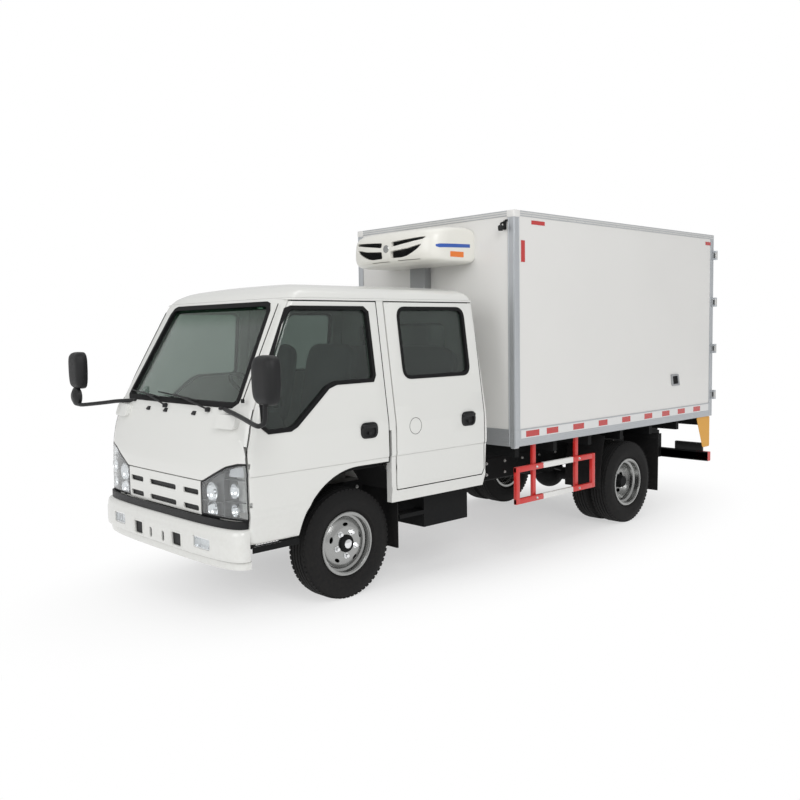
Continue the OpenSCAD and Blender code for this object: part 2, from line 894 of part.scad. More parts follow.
module tyre_profile(play) {
    w = tyre_w / 2;
    r = tyre_d / 2;
    bead = seat_r + play;
    polygon(concat(
        [[bead, -half_rim + sheet + 5], [flange_r - 2, -half_rim + sheet + 1],
         [flange_r + 6, -half_rim + 6], [flange_r + 30, -w + 6], [flange_r + 70, -w]],
        arc([r - 44, -w + 32], 32, -90, -40, 4), [[r - 4, -w + 34], [r, -w + 60]],
        [[r, w - 60], [r - 4, w - 34]], arc([r - 44, w - 32], 32, 40, 90, 4),
        [[flange_r + 70, w], [flange_r + 30, w - 6], [flange_r + 6, half_rim - 6],
         [flange_r - 2, half_rim - sheet - 1], [bead, half_rim - sheet - 5]]));
}

// Front rim with its hub and drum, turning on the knuckle's spindle.
module front_wheel(side) {
    color("silver") sided(side) translate([axle_x, 0, wheel_z]) difference() {
        wheel_turn(front_y) {
            rim_profile();
            disc_profile(18, 40);
            // Drum and hub, closed by its cap.
            polygon([[spindle_r + bearing_play, -14], [wheel_drum_r, -14], [wheel_drum_r, 8], [60, 8], [60, 62],
                     [50, 96], [0, 96], [0, 86], [spindle_r + bearing_play, 86]]);
        }
        hand_holes(front_y);
    }
}

module front_tyre(side) {
    color("#202020") sided(side) translate([axle_x, 0, wheel_z])
        wheel_turn(front_y) tyre_profile(SEAT);
}

// Twin rims with their hub, turning on the rear axle's end.
module rear_wheels(side) {
    outer_y = rear_y + twin_pitch / 2;
    inner_y = rear_y - twin_pitch / 2;
    color("silver") sided(side) translate([rear_x, 0, wheel_z]) difference() {
        union() {
            wheel_turn(outer_y) {
                rim_profile();
                disc_profile(-16, 24 - twin_pitch / 2);
            }
            wheel_turn(inner_y) {
                rim_profile();
                disc_profile(16, twin_pitch / 2 - 24);
            }
            wheel_turn(rear_y) polygon([
                [rear_spindle_r + bearing_play, -100], [64, -100], [64, 6], [62, 112],
                [50, 142], [0, 142], [0, 130], [rear_spindle_r + bearing_play, 130]
            ]);
        }
        hand_holes(rear_y);
    }
}

module rear_tyres(side) {
    color("#202020") sided(side) translate([rear_x, 0, wheel_z]) {
        wheel_turn(rear_y + twin_pitch / 2) tyre_profile(SEAT);
        wheel_turn(rear_y - twin_pitch / 2) tyre_profile(SEAT);
    }
}

// ---------------------------------------------------------------- tanks, guards and bars

module fuel_tank() {
    color("dimgray") {
        translate([axle_x - 1290, 0, 0]) rotate([90, 0, 90]) linear_extrude(700)
            round_rect([-830, 345], [-430, 620], 50);
        for (x = [-1180, -700]) block([axle_x + x - 25, -440, 560], [axle_x + x + 25, -rail_y, 610]);
    }
}

module battery_box() {
    color("dimgray") {
        block([axle_x - 1240, 440, 370], [axle_x - 760, 800, 610]);
        block([axle_x - 1100, rail_y, 560], [axle_x - 1040, 441, 600]);
        block([axle_x - 900, rail_y, 560], [axle_x - 840, 441, 600]);
        // Step under the rear door.
        block([axle_x - 761, 690, 470], [axle_x - 510, 800, 500]);
    }
}

module exhaust() {
    y = -225;
    z = rail_bottom - 85;
    pipe_r = 24;
    color("dimgray") {
        translate([axle_x - 2150, y, z]) rotate([0, 90, 0]) cylinder(h = 620, r = 78);
        bent_tube([[axle_x - 2100, y, z], [axle_x - 2560, y, z], [axle_x - 2620, y - 60, z],
                   [axle_x - 2620, -860, z]], pipe_r);
        block([axle_x - 1600, y - 15, z + 60], [axle_x - 1560, y + 15, rail_bottom + 40]);
        block([axle_x - 1600, -rail_y + rail_t, rail_bottom + rail_t],
              [axle_x - 1560, y + 15, rail_bottom + 40]);
    }
}

// Splash guards over the front wheels and flaps behind the rear ones.
module mudguards() {
    skin = 8;
    liner = concat([[452, 500]], arc(arch_c, 504, 12, 90, 14),
                   [[-300, arch_c.y + 504], [-446, 700], [-446, 280]]);
    color("#202020") both_sides() {
        across(470, inner_y - 12) difference() {
            polygon(concat(liner, [[-300, 280], [452, 400]]));
            offset(delta = -skin) polygon(concat(liner, [[-300, 180], [452, 400]]));
            translate([-380, 0]) square([1400, 470]);
        }
        // Straps up to the raised floor.
        for (x = [-200, 60]) block([axle_x + x, 560, arch_c.y + 503], [axle_x + x + 40, 640, riser_z]);
        rear_flap();
        corner_plate();
    }
}

module rear_flap() {
    x = rear_x - tyre_d / 2 - 130;
    block([x - 6, rear_y - 190, 230], [x, rear_y + 200, box_z - 92]);
    block([x - 36, rail_y - 5, box_z - 150], [x - 6, rear_y + 200, box_z - 110]);
}

// Bright plate under the box's rear corner.
module corner_plate() {
    block([box_back + 6, box_y - 24, 560], [box_back + 290, box_y - 18, box_z]);
}

guard_x = [-1690, -2800];   // ends of the side guard, from the front axle
guard_z = [414, 722];

module side_guards() {
    rail = 46;
    depth = 30;
    post_x = [-1960, -2560];
    y1 = box_y - 12;
    color("firebrick") both_sides() {
        for (z = [guard_z[0], guard_z[1] - rail])
            block([axle_x + guard_x[1], y1 - depth, z], [axle_x + guard_x[0], y1, z + rail]);
        for (x = [guard_x[1], guard_x[0] - rail])
            block([axle_x + x, y1 - depth, guard_z[0]], [axle_x + x + rail, y1, guard_z[1]]);
        for (x = post_x)
            block([axle_x + x - 24, y1 - depth - 24, guard_z[0] + 8],
                  [axle_x + x + 24, y1 - depth + 1, box_z]);
    }
}

bar_z = [400, 500];

module underride_bar() {
    x = -overall_l / 2;
    color("dimgray") {
        block([x, -910, bar_z[0]], [x + 60, 910, bar_z[1]]);
        both_sides() block([x + 59, rail_y - 40, bar_z[0]], [x + 140, rail_y, rail_bottom]);
        both_sides() block([x + 59, rail_y, bar_z[0]], [x + 140, rail_y + 12, rail_top - 40]);
    }
}

module tail_lamps() {
    x = -overall_l / 2;
    color("firebrick") both_sides() block([x + 8, 520, bar_z[1]], [x + 56, 840, bar_z[1] + 90]);
}

// ---------------------------------------------------------------- insulated box

skin_y = box_y - edge_t;
skin_front = box_front - edge_t;
skin_back = box_back + edge_t;

// Floor slab with a raised lining between the walls.
module box_floor() {
    lining_t = 5;
    lining_gap = 5;
    color("lightgray") {
        block([skin_back, -skin_y, box_z + edge_t], [skin_front, skin_y, load_z]);
        block([box_back + 4 + leaf_t + lining_gap, -skin_y + panel_t + lining_gap, load_z - 1],
              [skin_front - panel_t - lining_gap, skin_y - panel_t - lining_gap, load_z + lining_t]);
    }
}

module box_front_wall() {
    color("white") block([skin_front - panel_t, -skin_y + panel_t, load_z],
                         [skin_front, skin_y - panel_t, ceiling_z]);
}

module box_side_walls() {
    color("white") both_sides() difference() {
        block([skin_back, skin_y - panel_t, load_z], [skin_front, skin_y, ceiling_z]);
        vent_hole();
    }
}

// Pressure vent low on the side.
module vent_hole() {
    block([axle_x - 4230, skin_y - panel_t - 1, 1270], [axle_x - 4130, skin_y + 1, 1350]);
}

module box_roof() {
    color("white") block([skin_back, -skin_y, ceiling_z], [skin_front, skin_y, box_top - edge_t]);
}

// Aluminium extrusions along every edge, as one frame of thin angles.
module box_edge_rails() {
    post = 66;
    top = 46;
    foot = 64;
    frame = panel_t + edge_t;
    color("silver") both_sides() for (z = leaf_hinge_z) hinge_lugs(z);
    color("silver") difference() {
        block([box_back, -box_y, box_z], [box_front, box_y, box_top]);
        block([skin_back, -skin_y, box_z + edge_t], [skin_front, skin_y, box_top - edge_t]);
        block([box_back + post, -BIG, box_z + foot], [box_front - post, BIG, box_top - top]);
        block([box_front - post, -box_y + post, box_z + foot],
              [box_front + 1, box_y - post, box_top - top]);
        block([box_back + post, -box_y + post, box_top - 50], [box_front - post, box_y - post, BIG]);
        block([box_back + post, -box_y + post, 0], [box_front - post, box_y - post, box_z + 50]);
        block([box_back - 1, -box_y + frame, load_z], [box_back + post, box_y - frame, box_top - frame]);
    }
}

leaf_t = 72;
leaf_play = 8;
leaf_z = [load_z + leaf_play, ceiling_z - leaf_play];
leaf_hinge_z = [for (i = [0 : 3]) leaf_z[0] + 120 + i * (leaf_z[1] - leaf_z[0] - 240) / 3];
strap_h = 56;
pin_d = [-16, 20];          // hinge pins behind the box's rear face and outside its side
hinge_pin_r = 8;
knuckle_r = 14;
lock_y = [250, 640];

module box_door(side) {
    y1 = box_y - edge_t - panel_t - leaf_play;
    color("white") sided(side) {
        block([box_back + 4, leaf_gap, leaf_z[0]], [box_back + 4 + leaf_t, y1, leaf_z[1]]);
        // Hinge straps reach the pins outside the corner.
        for (z = leaf_hinge_z) {
            block([box_back - 10, y1 - 190, z - strap_h / 2], [box_back + 5, y1, z + strap_h / 2]);
            block([box_back - 22, y1 - 60, z - strap_h / 2],
                  [box_back - 10, box_y + pin_d.y, z + strap_h / 2]);
            translate([box_back + pin_d.x, box_y + pin_d.y, z]) {
                cylinder(h = strap_h, r = knuckle_r, center = true);
                cylinder(h = strap_h + 40, r = hinge_pin_r, center = true);
            }
        }
        // Lock rods with their keepers and handles.
        for (y = lock_y) {
            translate([box_back - 26, y, leaf_z[0] + 30])
                cylinder(h = leaf_z[1] - leaf_z[0] - 60, r = 13);
            for (z = [leaf_z[0] + 60, (leaf_z[0] + leaf_z[1]) / 2, leaf_z[1] - 60])
                block([box_back - 40, y - 26, z - 22], [box_back + 5, y + 26, z + 22]);
            block([box_back - 46, y - 200, leaf_z[0] + 330], [box_back - 34, y + 10, leaf_z[0] + 366]);
        }
    }
}

// The two lugs on the corner post that hold one hinge pin, above and below the strap.
module hinge_lugs(z) {
    lug_h = 18;
    for (dz = [-strap_h / 2 - 1 - lug_h, strap_h / 2 + 1]) difference() {
        union() {
            block([box_back - 4, box_y - 1, z + dz], [box_back + 40, box_y + 8, z + dz + lug_h]);
            block([box_back + pin_d.x, box_y - 1, z + dz],
                  [box_back + 6, box_y + pin_d.y, z + dz + lug_h]);
            translate([box_back + pin_d.x, box_y + pin_d.y, z + dz])
                cylinder(h = lug_h, r = knuckle_r);
        }
        translate([box_back + pin_d.x, box_y + pin_d.y, z + dz - 1])
            cylinder(h = lug_h + 2, r = hinge_pin_r + bearing_play);
    }
}

unit_z = box_top - 91 - unit_h;

// Condenser unit on the box's front wall, overhanging the cab roof.
module refrigeration_unit() {
    w = unit_w / 2;
    front = skin_front + unit_d;
    color("ivory") intersection() {
        translate([0, 0, unit_z]) linear_extrude(unit_h) polygon(concat(
            [[skin_front, w - 10]], arc([front - 110, w - 100], 100, 90, 20, 6),
            [[front, w - 260]], [[front, -w + 260]],
            arc([front - 110, -w + 100], 100, -20, -90, 6), [[skin_front, -w + 10]]));
        translate([0, w + 1, unit_z]) rotate([90, 0, 0]) linear_extrude(unit_w + 2) polygon([
            [skin_front, 0], [front - 120, 0], [front - 30, 26], [front, 80], [front - 16, unit_h - 90],
            [front - 60, unit_h - 40], [front - 190, unit_h - 8], [skin_front + 120, unit_h],
            [skin_front, unit_h - 30]
        ]);
    }
}

module duct_cover() {
    color("darkgray") block([skin_front, -170, 1120], [skin_front + 78, 15, unit_z]);
}

evap_h = 190;

module evaporator() {
    x1 = skin_front - panel_t;
    color("lightgray") across(-480, 480) translate([-axle_x, 0]) polygon([
        [x1, ceiling_z], [x1 - 520, ceiling_z], [x1 - 520, ceiling_z - 60],
        [x1 - 400, ceiling_z - evap_h], [x1, ceiling_z - evap_h]
    ]);
}

// ---------------------------------------------------------------- the assembly

chassis_frame();
box_subframe();
engine_block();
front_axle();
rear_axle();
leaf_springs();
drive_shaft();
fuel_tank();
battery_box();
exhaust();
mudguards();
side_guards();
underride_bar();
tail_lamps();
cab_body();
cab_roof();
front_panel();
grille();
headlamps();
front_bumper();
fog_lamps();
cab_glass();
mirrors();
dashboard();
steering_wheel();
seats();
front_door(LEFT);  // left_front_door
door_glass(LEFT) front_window_outline();  // left_front_window
rear_door(LEFT);  // left_rear_door
door_glass(LEFT) rear_window_outline();  // left_rear_window
front_door(RIGHT);  // right_front_door
door_glass(RIGHT) front_window_outline();  // right_front_window
rear_door(RIGHT);  // right_rear_door
door_glass(RIGHT) rear_window_outline();  // right_rear_window
box_floor();
box_front_wall();
box_side_walls();
box_roof();
box_edge_rails();
box_door(LEFT);  // left_box_door
box_door(RIGHT);  // right_box_door
refrigeration_unit();
duct_cover();
evaporator();
knuckle(LEFT);  // left_knuckle
knuckle(RIGHT);  // right_knuckle
front_wheel(LEFT);  // front_left_wheel
front_tyre(LEFT);  // front_left_tyre
front_wheel(RIGHT);  // front_right_wheel
front_tyre(RIGHT);  // front_right_tyre
rear_wheels(LEFT);  // rear_left_wheels
rear_tyres(LEFT);  // rear_left_tyres
rear_wheels(RIGHT);  // rear_right_wheels
rear_tyres(RIGHT);  // rear_right_tyres
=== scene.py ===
"""Refrigerated light truck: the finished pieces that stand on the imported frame."""

from __future__ import annotations

import logging
import math
from dataclasses import dataclass, field, replace
from enum import Enum
from typing import Callable, Iterable, Sequence

import bmesh
import bpy
import numpy as np
from mathutils import Matrix, Vector


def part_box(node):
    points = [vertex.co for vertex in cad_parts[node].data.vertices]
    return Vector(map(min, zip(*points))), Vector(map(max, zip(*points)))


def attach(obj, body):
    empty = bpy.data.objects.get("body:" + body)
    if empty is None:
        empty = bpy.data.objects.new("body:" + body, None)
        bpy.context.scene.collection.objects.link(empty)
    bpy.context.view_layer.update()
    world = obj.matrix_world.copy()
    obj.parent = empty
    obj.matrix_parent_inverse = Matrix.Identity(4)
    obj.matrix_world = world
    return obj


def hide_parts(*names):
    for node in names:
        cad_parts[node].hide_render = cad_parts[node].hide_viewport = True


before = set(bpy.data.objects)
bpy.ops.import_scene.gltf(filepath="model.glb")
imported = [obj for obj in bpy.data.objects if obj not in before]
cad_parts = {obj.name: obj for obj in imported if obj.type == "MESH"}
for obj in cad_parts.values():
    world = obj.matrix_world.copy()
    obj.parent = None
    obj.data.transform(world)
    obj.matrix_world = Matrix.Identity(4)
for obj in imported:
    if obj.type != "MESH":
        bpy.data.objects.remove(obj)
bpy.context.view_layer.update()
LOG = logging.getLogger("truck")
Socket = bpy.types.NodeSocket
Pair = tuple[float, float]
Triple = tuple[float, float, float]
ROOT = "truck"
LEFT, RIGHT = 1, -1
SIDE_NAME = {LEFT: "left", RIGHT: "right"}


def middle(node: str) -> Vector:
    """Centre of a node's box at rest.

    Args:
        node: name of the CAD node.

    Returns:
        The middle point, in metres.
    """
    low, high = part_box(node)
    return (low + high) / 2


AXLE_X = middle("front_left_tyre").x
REAR_X = middle("rear_left_tyres").x
WHEEL_Z = middle("front_left_tyre").z


# ---------------------------------------------------------------- plain geometry


class Cut(Enum):
    """What a second solid does to the first."""

    AWAY = "DIFFERENCE"
    COMMON = "INTERSECT"
    JOIN = "UNION"


@dataclass
class Shape:
    """Vertices and faces of one or more closed skins, in metres."""

    verts: np.ndarray
    faces: list[tuple[int, ...]]

    def __add__(self, other: "Shape") -> "Shape":
        """Both shapes as one.

        Args:
            other: the second shape.

        Returns:
            The joined shape.
        """
        n = len(self.verts)
        return Shape(np.vstack([self.verts, other.verts]), self.faces + [tuple(i + n for i in f)
            for f in other.faces])

    def moved(self, by: Sequence[float]) -> "Shape":
        """The shape shifted by a vector."""
        return Shape(self.verts + np.array(by), self.faces)

    def placed(self, matrix: Matrix) -> "Shape":
        """The shape turned and moved by a matrix that doesn't mirror."""
        m = np.array(matrix)
        return Shape(self.verts @ m[:3, :3].T + m[:3, 3], self.faces)

    def mirrored(self) -> "Shape":
        """The shape on the other side of the truck, faces still outward."""
        return Shape(self.verts * np.array([1, -1, 1]), [f[::-1] for f in self.faces])

    def on(self, side: int) -> "Shape":
        """The shape for one side, drawn for the left."""
        return self if side == LEFT else self.mirrored()

    def both(self) -> "Shape":
        """The shape and its mirror image."""
        return self + self.mirrored()

    def mesh(self, name: str) -> bpy.types.Mesh:
        """A Blender mesh of the shape.

        Args:
            name: the mesh's name.

        Returns:
            The mesh.
        """
        made = bpy.data.meshes.new(name)
        made.from_pydata([tuple(v) for v in self.verts], [], self.faces)
        made.update()
        return made


def shape_of(mesh: bpy.types.Mesh) -> Shape:
    """The shape that a mesh holds.

    Args:
        mesh: any mesh.

    Returns:
        Its vertices and faces.
    """
    co = np.empty(len(mesh.vertices) * 3)
    mesh.vertices.foreach_get("co", co)
    return Shape(co.reshape(-1, 3), [tuple(p.vertices) for p in mesh.polygons])


def total(shapes: Iterable[Shape]) -> Shape:
    """All shapes as one.

    Args:
        shapes: the shapes, at least one.

    Returns:
        The joined shape.
    """
    shapes = list(shapes)
    out = shapes[0]
    for s in shapes[1:]:
        out = out + s
    return out


def evaluated(obj: bpy.types.Object) -> bpy.types.Mesh:
    """The mesh an object shows with its modifiers, which are then dropped.

    Args:
        obj: an object linked to the scene; it is removed.

    Returns:
        The new mesh.
    """
    bpy.context.view_layer.update()
    graph = bpy.context.evaluated_depsgraph_get()
    made = bpy.data.meshes.new_from_object(obj.evaluated_get(graph))
    bpy.data.objects.remove(obj)
    return made


def loose(shape: Shape, name: str = "work") -> bpy.types.Object:
    """A working object, linked to the scene until it is evaluated.

    Args:
        shape: what it shows.
        name: its name.

    Returns:
        The object.
    """
    obj = bpy.data.objects.new(name, shape.mesh(name))
    bpy.context.scene.collection.objects.link(obj)
    return obj


def carve(base: Shape, tool: Shape, how: Cut = Cut.AWAY) -> Shape:
    """One solid cut by another.

    Args:
        base: the solid that is worked on.
        tool: the solid that cuts it.
        how: what the tool does.

    Returns:
        The resulting shape.
    """
    a, b = loose(base, "base"), loose(tool, "tool")
    cut = a.modifiers.new("cut", "BOOLEAN")
    cut.operation = how.value
    cut.object = b
    cut.solver = "MANIFOLD"
    made = shape_of(evaluated(a))
    bpy.data.objects.remove(b)
    return made


def bevelled(shape: Shape, width: float, segments: int = 2, angle: float = 30.0) -> Shape:
    """The shape with its sharp edges rounded.

    Args:
        shape: a closed shape.
        width: bevel width in metres.
        segments: facets across each bevel.
        angle: edges sharper than this, in degrees, are rounded.

    Returns:
        The rounded shape.
    """
    bm = bmesh.new()
    bm.from_mesh(shape.mesh("bevel"))
    bmesh.ops.remove_doubles(bm, verts=bm.verts, dist=1e-6)
    sharp = [e for e in bm.edges if len(e.link_faces) == 2 and e.calc_face_angle(0) > math.radians(angle)]
    bmesh.ops.bevel(bm, geom=sharp, offset=width, segments=segments, profile=0.5, affect="EDGES", clamp_overlap=True)
    made = bpy.data.meshes.new("bevel")
    bm.to_mesh(made)
    bm.free()
    return shape_of(made)


def block(lo: Sequence[float], hi: Sequence[float], bevel: float = 0.0, segments: int = 2) -> Shape:
    """A box between two corners, with rounded edges.

    Args:
        lo: low corner.
        hi: high corner.
        bevel: radius of its edges.
        segments: facets across each edge.

    Returns:
        The box.
    """
    (x0, y0, z0), (x1, y1, z1) = lo, hi
    made = Shape(np.array([(x, y, z) for x in (x0, x1) for y in (y0, y1) for z in (z0, z1)], float),
        [(0, 1, 3, 2), (4, 6, 7, 5), (0, 4, 5, 1), (2, 3, 7, 6), (0, 2, 6, 4), (1, 5, 7, 3)])
    return bevelled(made, bevel, segments) if bevel else made


def area_of(outline: Sequence[Pair]) -> float:
    """Signed area of a closed outline.

    Args:
        outline: corners of a closed outline.

    Returns:
        The area, positive where the corners run anticlockwise.
    """
    a = np.array(outline)
    b = np.roll(a, -1, axis=0)
    return float(np.sum(a[:, 0] * b[:, 1] - b[:, 0] * a[:, 1]) / 2)


def prism(outline: Sequence[Pair], low: float, high: float, axis: str) -> Shape:
    """An outline given a length along one axis.

    Args:
        outline: corners; (x, z) for axis y, (y, z) for axis x, (x, y) for axis z.
        low: where it starts along the axis.
        high: where it ends.
        axis: "x", "y" or "z".

    Returns:
        The closed prism.
    """
    pts = list(outline) if area_of(outline) > 0 else list(outline)[::-1]
    n = len(pts)
    order = {"x": lambda p, t: (t, p[0], p[1]), "y": lambda p, t: (p[0], t, p[1]),
        "z": lambda p, t: (p[0], p[1], t)}[axis]
    verts = [order(p, low) for p in pts] + [order(p, high) for p in pts]
    faces = [tuple(range(n))[::-1], tuple(range(n, 2 * n))]
    faces += [(i, (i + 1) % n, n + (i + 1) % n, n + i) for i in range(n)]
    if axis == "y":
        faces = [f[::-1] for f in faces]
    return Shape(np.array(verts, float), faces)


def offset(outline: Sequence[Pair], by: float) -> list[Pair]:
    """An outline with every side moved outward by a distance, or inward where it is negative.

    Args:
        outline: corners of a closed outline.
        by: distance in metres.

    Returns:
        The moved corners.
    """
    pts = np.array(outline, float)
    if area_of(outline) < 0:
        pts = pts[::-1]
    before, after = pts - np.roll(pts, 1, axis=0), np.roll(pts, -1, axis=0) - pts
    out = []
    for p, a, b in zip(pts, before, after):
        na = np.array([a[1], -a[0]]) / (np.linalg.norm(a) or 1)
        nb = np.array([b[1], -b[0]]) / (np.linalg.norm(b) or 1)
        m = na + nb
        out.append(tuple(p + by * m / max(float(m @ na), 0.35)))
    return out


def rounded(outline: Sequence[Pair], radius: float, steps: int = 5) -> list[Pair]:
    """An outline with each corner drawn as a small curve.

    Args:
        outline: corners of a closed outline.
        radius: how far from a corner its curve starts.
        steps: pieces in each curve.

    Returns:
        The finer outline.
    """
    pts = [np.array(p, float) for p in outline]
    out: list[Pair] = []
    for i, p in enumerate(pts):
        a, b = pts[i - 1] - p, pts[(i + 1) % len(pts)] - p
        la, lb = np.linalg.norm(a), np.linalg.norm(b)
        ra, rb = min(radius, la * 0.45), min(radius, lb * 0.45)
        start, end = p + a / la * ra, p + b / lb * rb
        for k in range(steps + 1):
            t = k / steps
            out.append(tuple((1 - t) ** 2 * start + 2 * t * (1 - t) * p + t * t * end))
    return out


def rectangle(lo: Pair, hi: Pair, radius: float = 0.0, steps: int = 5) -> list[Pair]:
    """A rectangle's outline between two corners, with rounded corners."""
    pts = [(lo[0], lo[1]), (hi[0], lo[1]), (hi[0], hi[1]), (lo[0], hi[1])]
    return rounded(pts, radius, steps) if radius else pts


def smooth_line(points: Sequence[Sequence[float]], steps: int = 8) -> np.ndarray:
    """A soft curve through points.

    Args:
        points: the points it passes.
        steps: pieces between two points.

    Returns:
        The finer line.
    """
    p = np.array(points, float)
    p = np.vstack([2 * p[0] - p[1], p, 2 * p[-1] - p[-2]])
    out = []
    for i in range(1, len(p) - 2):
        for k in range(steps):
            t = k / steps
            out.append(0.5 * (2 * p[i] + (p[i + 1] - p[i - 1]) * t + (2 * p[i - 1] - 5 * p[i] + 4 * p[i + 1]
                - p[i + 2]) * t * t + (3 * p[i] - p[i - 1] - 3 * p[i + 1] + p[i + 2]) * t ** 3))
    out.append(p[-2])
    return np.array(out)


def skin(rings: Sequence[np.ndarray], closed: bool = False) -> Shape:
    """A surface through rings of points, with capped ends.

    Args:
        rings: closed rings, all with as many points.
        closed: joins the last ring to the first.

    Returns:
        The closed surface, its faces turned outward.
    """
    n, count = len(rings[0]), len(rings)
    faces = []
    for r in range(count if closed else count - 1):
        a, b = r * n, ((r + 1) % count) * n
        faces += [(a + i, a + (i + 1) % n, b + (i + 1) % n, b + i) for i in range(n)]
    if not closed:
        faces += [tuple(range(n))[::-1], tuple(range((count - 1) * n, count * n))]
    return outward(Shape(np.vstack(rings), faces))


def outward(shape: Shape) -> Shape:
    """The shape with its faces turned outward and doubled points merged.

    Args:
        shape: a closed shape.

    Returns:
        The mended shape.
    """
    bm = bmesh.new()
    bm.from_mesh(shape.mesh("turn"))
    bmesh.ops.remove_doubles(bm, verts=bm.verts, dist=1e-6)
    bmesh.ops.recalc_face_normals(bm, faces=bm.faces)
    made = bpy.data.meshes.new("turn")
    bm.to_mesh(made)
    bm.free()
    return shape_of(made)


def swell(wave: np.ndarray, power: float) -> np.ndarray:
    """A sine or cosine wave made squarer, for sections between an ellipse and a box."""
    return np.sign(wave) * np.abs(wave) ** (2 / power)


def tube(points: Sequence[Sequence[float]], radius: float, sides: int = 14, soft: bool = True) -> Shape:
    """A round tube along a line, closed at its ends.

    Args:
        points: the line's points.
        radius: tube radius.
        sides: facets around.
        soft: bends the line smoothly through its points.

    Returns:
        The tube.
    """
    line = smooth_line(points, 6) if soft and len(points) > 2 else np.array(points, float)
    tangent = np.gradient(line, axis=0)
    tangent /= np.linalg.norm(tangent, axis=1)[:, None]
    side = np.cross(tangent[0], [0.0, 0.0, 1.0])
    if np.linalg.norm(side) < 0.1:
        side = np.cross(tangent[0], [0.0, 1.0, 0.0])
    rings = []
    angle = np.linspace(0, 2 * math.pi, sides, endpoint=False)
    for p, t in zip(line, tangent):
        side = side - t * float(side @ t)
        side /= np.linalg.norm(side)
        up = np.cross(t, side)
        rings.append(p + radius * (np.cos(angle)[:, None] * side + np.sin(angle)[:, None] * up))
    return skin(rings)


def turned(profile: Sequence[Pair], centre: Sequence[float], axis: str = "y", sides: int = 96) -> Shape:
    """A closed profile turned about an axis.

    Args:
        profile: corners as (radius, offset along the axis).
        centre: a point on the axis.
        axis: "x", "y" or "z".
        sides: facets around.

    Returns:
        The turned shape.
    """
    angle = np.linspace(0, 2 * math.pi, sides, endpoint=False)
    rings = []
    for a in angle:
        c, s = math.cos(a), math.sin(a)
        place = {"y": lambda r, h: (r * c, h, r * s), "x": lambda r, h: (h, r * c, r * s),
            "z": lambda r, h: (r * c, r * s, h)}[axis]
        rings.append(np.array([place(max(r, 1e-5), h) for r, h in profile]))
    return skin(rings, closed=True).moved(centre)


def along(profile: Sequence[Pair], start: Sequence[float], end: Sequence[float], u: Sequence[float],
        v: Sequence[float]) -> Shape:
    """A section carried from one point to another.

    Args:
        profile: corners of the section as (along u, along v).
        start: where it begins.
        end: where it ends.
        u: first direction of the section.
        v: second direction of the section.

    Returns:
        The bar.
    """
    u, v = np.array(u, float), np.array(v, float)
    ring = [np.array([np.array(p) + a * u + b * v for a, b in profile]) for p in (start, end)]
    return skin(ring)


# ---------------------------------------------------------------- finishes


class Net:
    """Small helper that lays shader or geometry nodes and joins them."""

    def __init__(self, tree: bpy.types.NodeTree) -> None:
        """Keeps the tree it works in."""
        self.tree = tree

    def add(self, kind: str, links: dict | None = None, **settings: object) -> bpy.types.Node:
        """A node with its properties set and its inputs joined or given values.

        Args:
            kind: node type.
            links: input name or number to a socket or a value.
            settings: node properties.

        Returns:
            The node.
        """
        node = self.tree.nodes.new(kind)
        for key, value in settings.items():
            setattr(node, key, value)
        for key, value in (links or {}).items():
            if isinstance(value, Socket):
                self.tree.links.new(value, node.inputs[key])
            else:
                node.inputs[key].default_value = value
        return node

    def maths(self, how: str, a: object, b: object = 0.0, clamp: bool = False) -> Socket:
        """The result of one sum."""
        return self.add("ShaderNodeMath", {0: a, 1: b}, operation=how, use_clamp=clamp).outputs[0]

    def times(self, a: object, b: object) -> Socket:
        """The product of two values."""
        return self.maths("MULTIPLY", a, b)

    def vector(self, x: object = 0.0, y: object = 0.0, z: object = 0.0) -> Socket:
        """Three values as a vector."""
        return self.add("ShaderNodeCombineXYZ", {0: x, 1: y, 2: z}).outputs[0]

    def join(self, source: Socket, target: Socket) -> None:
        """Joins an output to an input."""
        self.tree.links.new(source, target)

    def mix(self, factor: object, a: object, b: object) -> Socket:
        """Two colours mixed."""
        node = self.add("ShaderNodeMix", {0: factor, 6: a, 7: b}, data_type="RGBA")
        return node.outputs[2]

    def noise(self, vector: object, scale: float, detail: float = 3.0, rough: float = 0.5) -> Socket:
        """Soft noise from 0 to 1."""
        return self.add("ShaderNodeTexNoise", {"Vector": vector, "Scale": scale, "Detail": detail,
            "Roughness": rough}).outputs[0]

    def ramp(self, value: object, low: float, high: float) -> Socket:
        """A value spread from 0 to 1 between two limits."""
        return self.add("ShaderNodeMapRange", {"Value": value, "From Min": low, "From Max": high},
            interpolation_type="SMOOTHSTEP").outputs[0]


def rgba(colour: Sequence[float]) -> tuple[float, float, float, float]:
    """A colour with full alpha."""
    return (colour[0], colour[1], colour[2], 1.0)


def group(name: str, inputs: dict[str, object], outputs: dict[str, str], build: Callable[[Net, dict, dict],
        None]) -> bpy.types.NodeTree:
    """A shader node group with named sockets.

    Args:
        name: group name.
        inputs: socket name to its default, a number or a colour.
        outputs: socket name to its socket type.
        build: lays the nodes, given the net, the input sockets and the output sockets.

    Returns:
        The group.
    """
    tree = bpy.data.node_groups.new(name, "ShaderNodeTree")
    for key, value in inputs.items():
        kind = "NodeSocketFloat" if isinstance(value, float) else "NodeSocketColor"
        made = tree.interface.new_socket(key, in_out="INPUT", socket_type=kind)
        made.default_value = value if isinstance(value, float) else rgba(value)
    for key, kind in outputs.items():
        tree.interface.new_socket(key, in_out="OUTPUT", socket_type=kind)
    net = Net(tree)
    start, end = net.add("NodeGroupInput"), net.add("NodeGroupOutput")
    build(net, {s.name: s for s in start.outputs if s.name}, {s.name: s for s in end.inputs if s.name})
    return tree


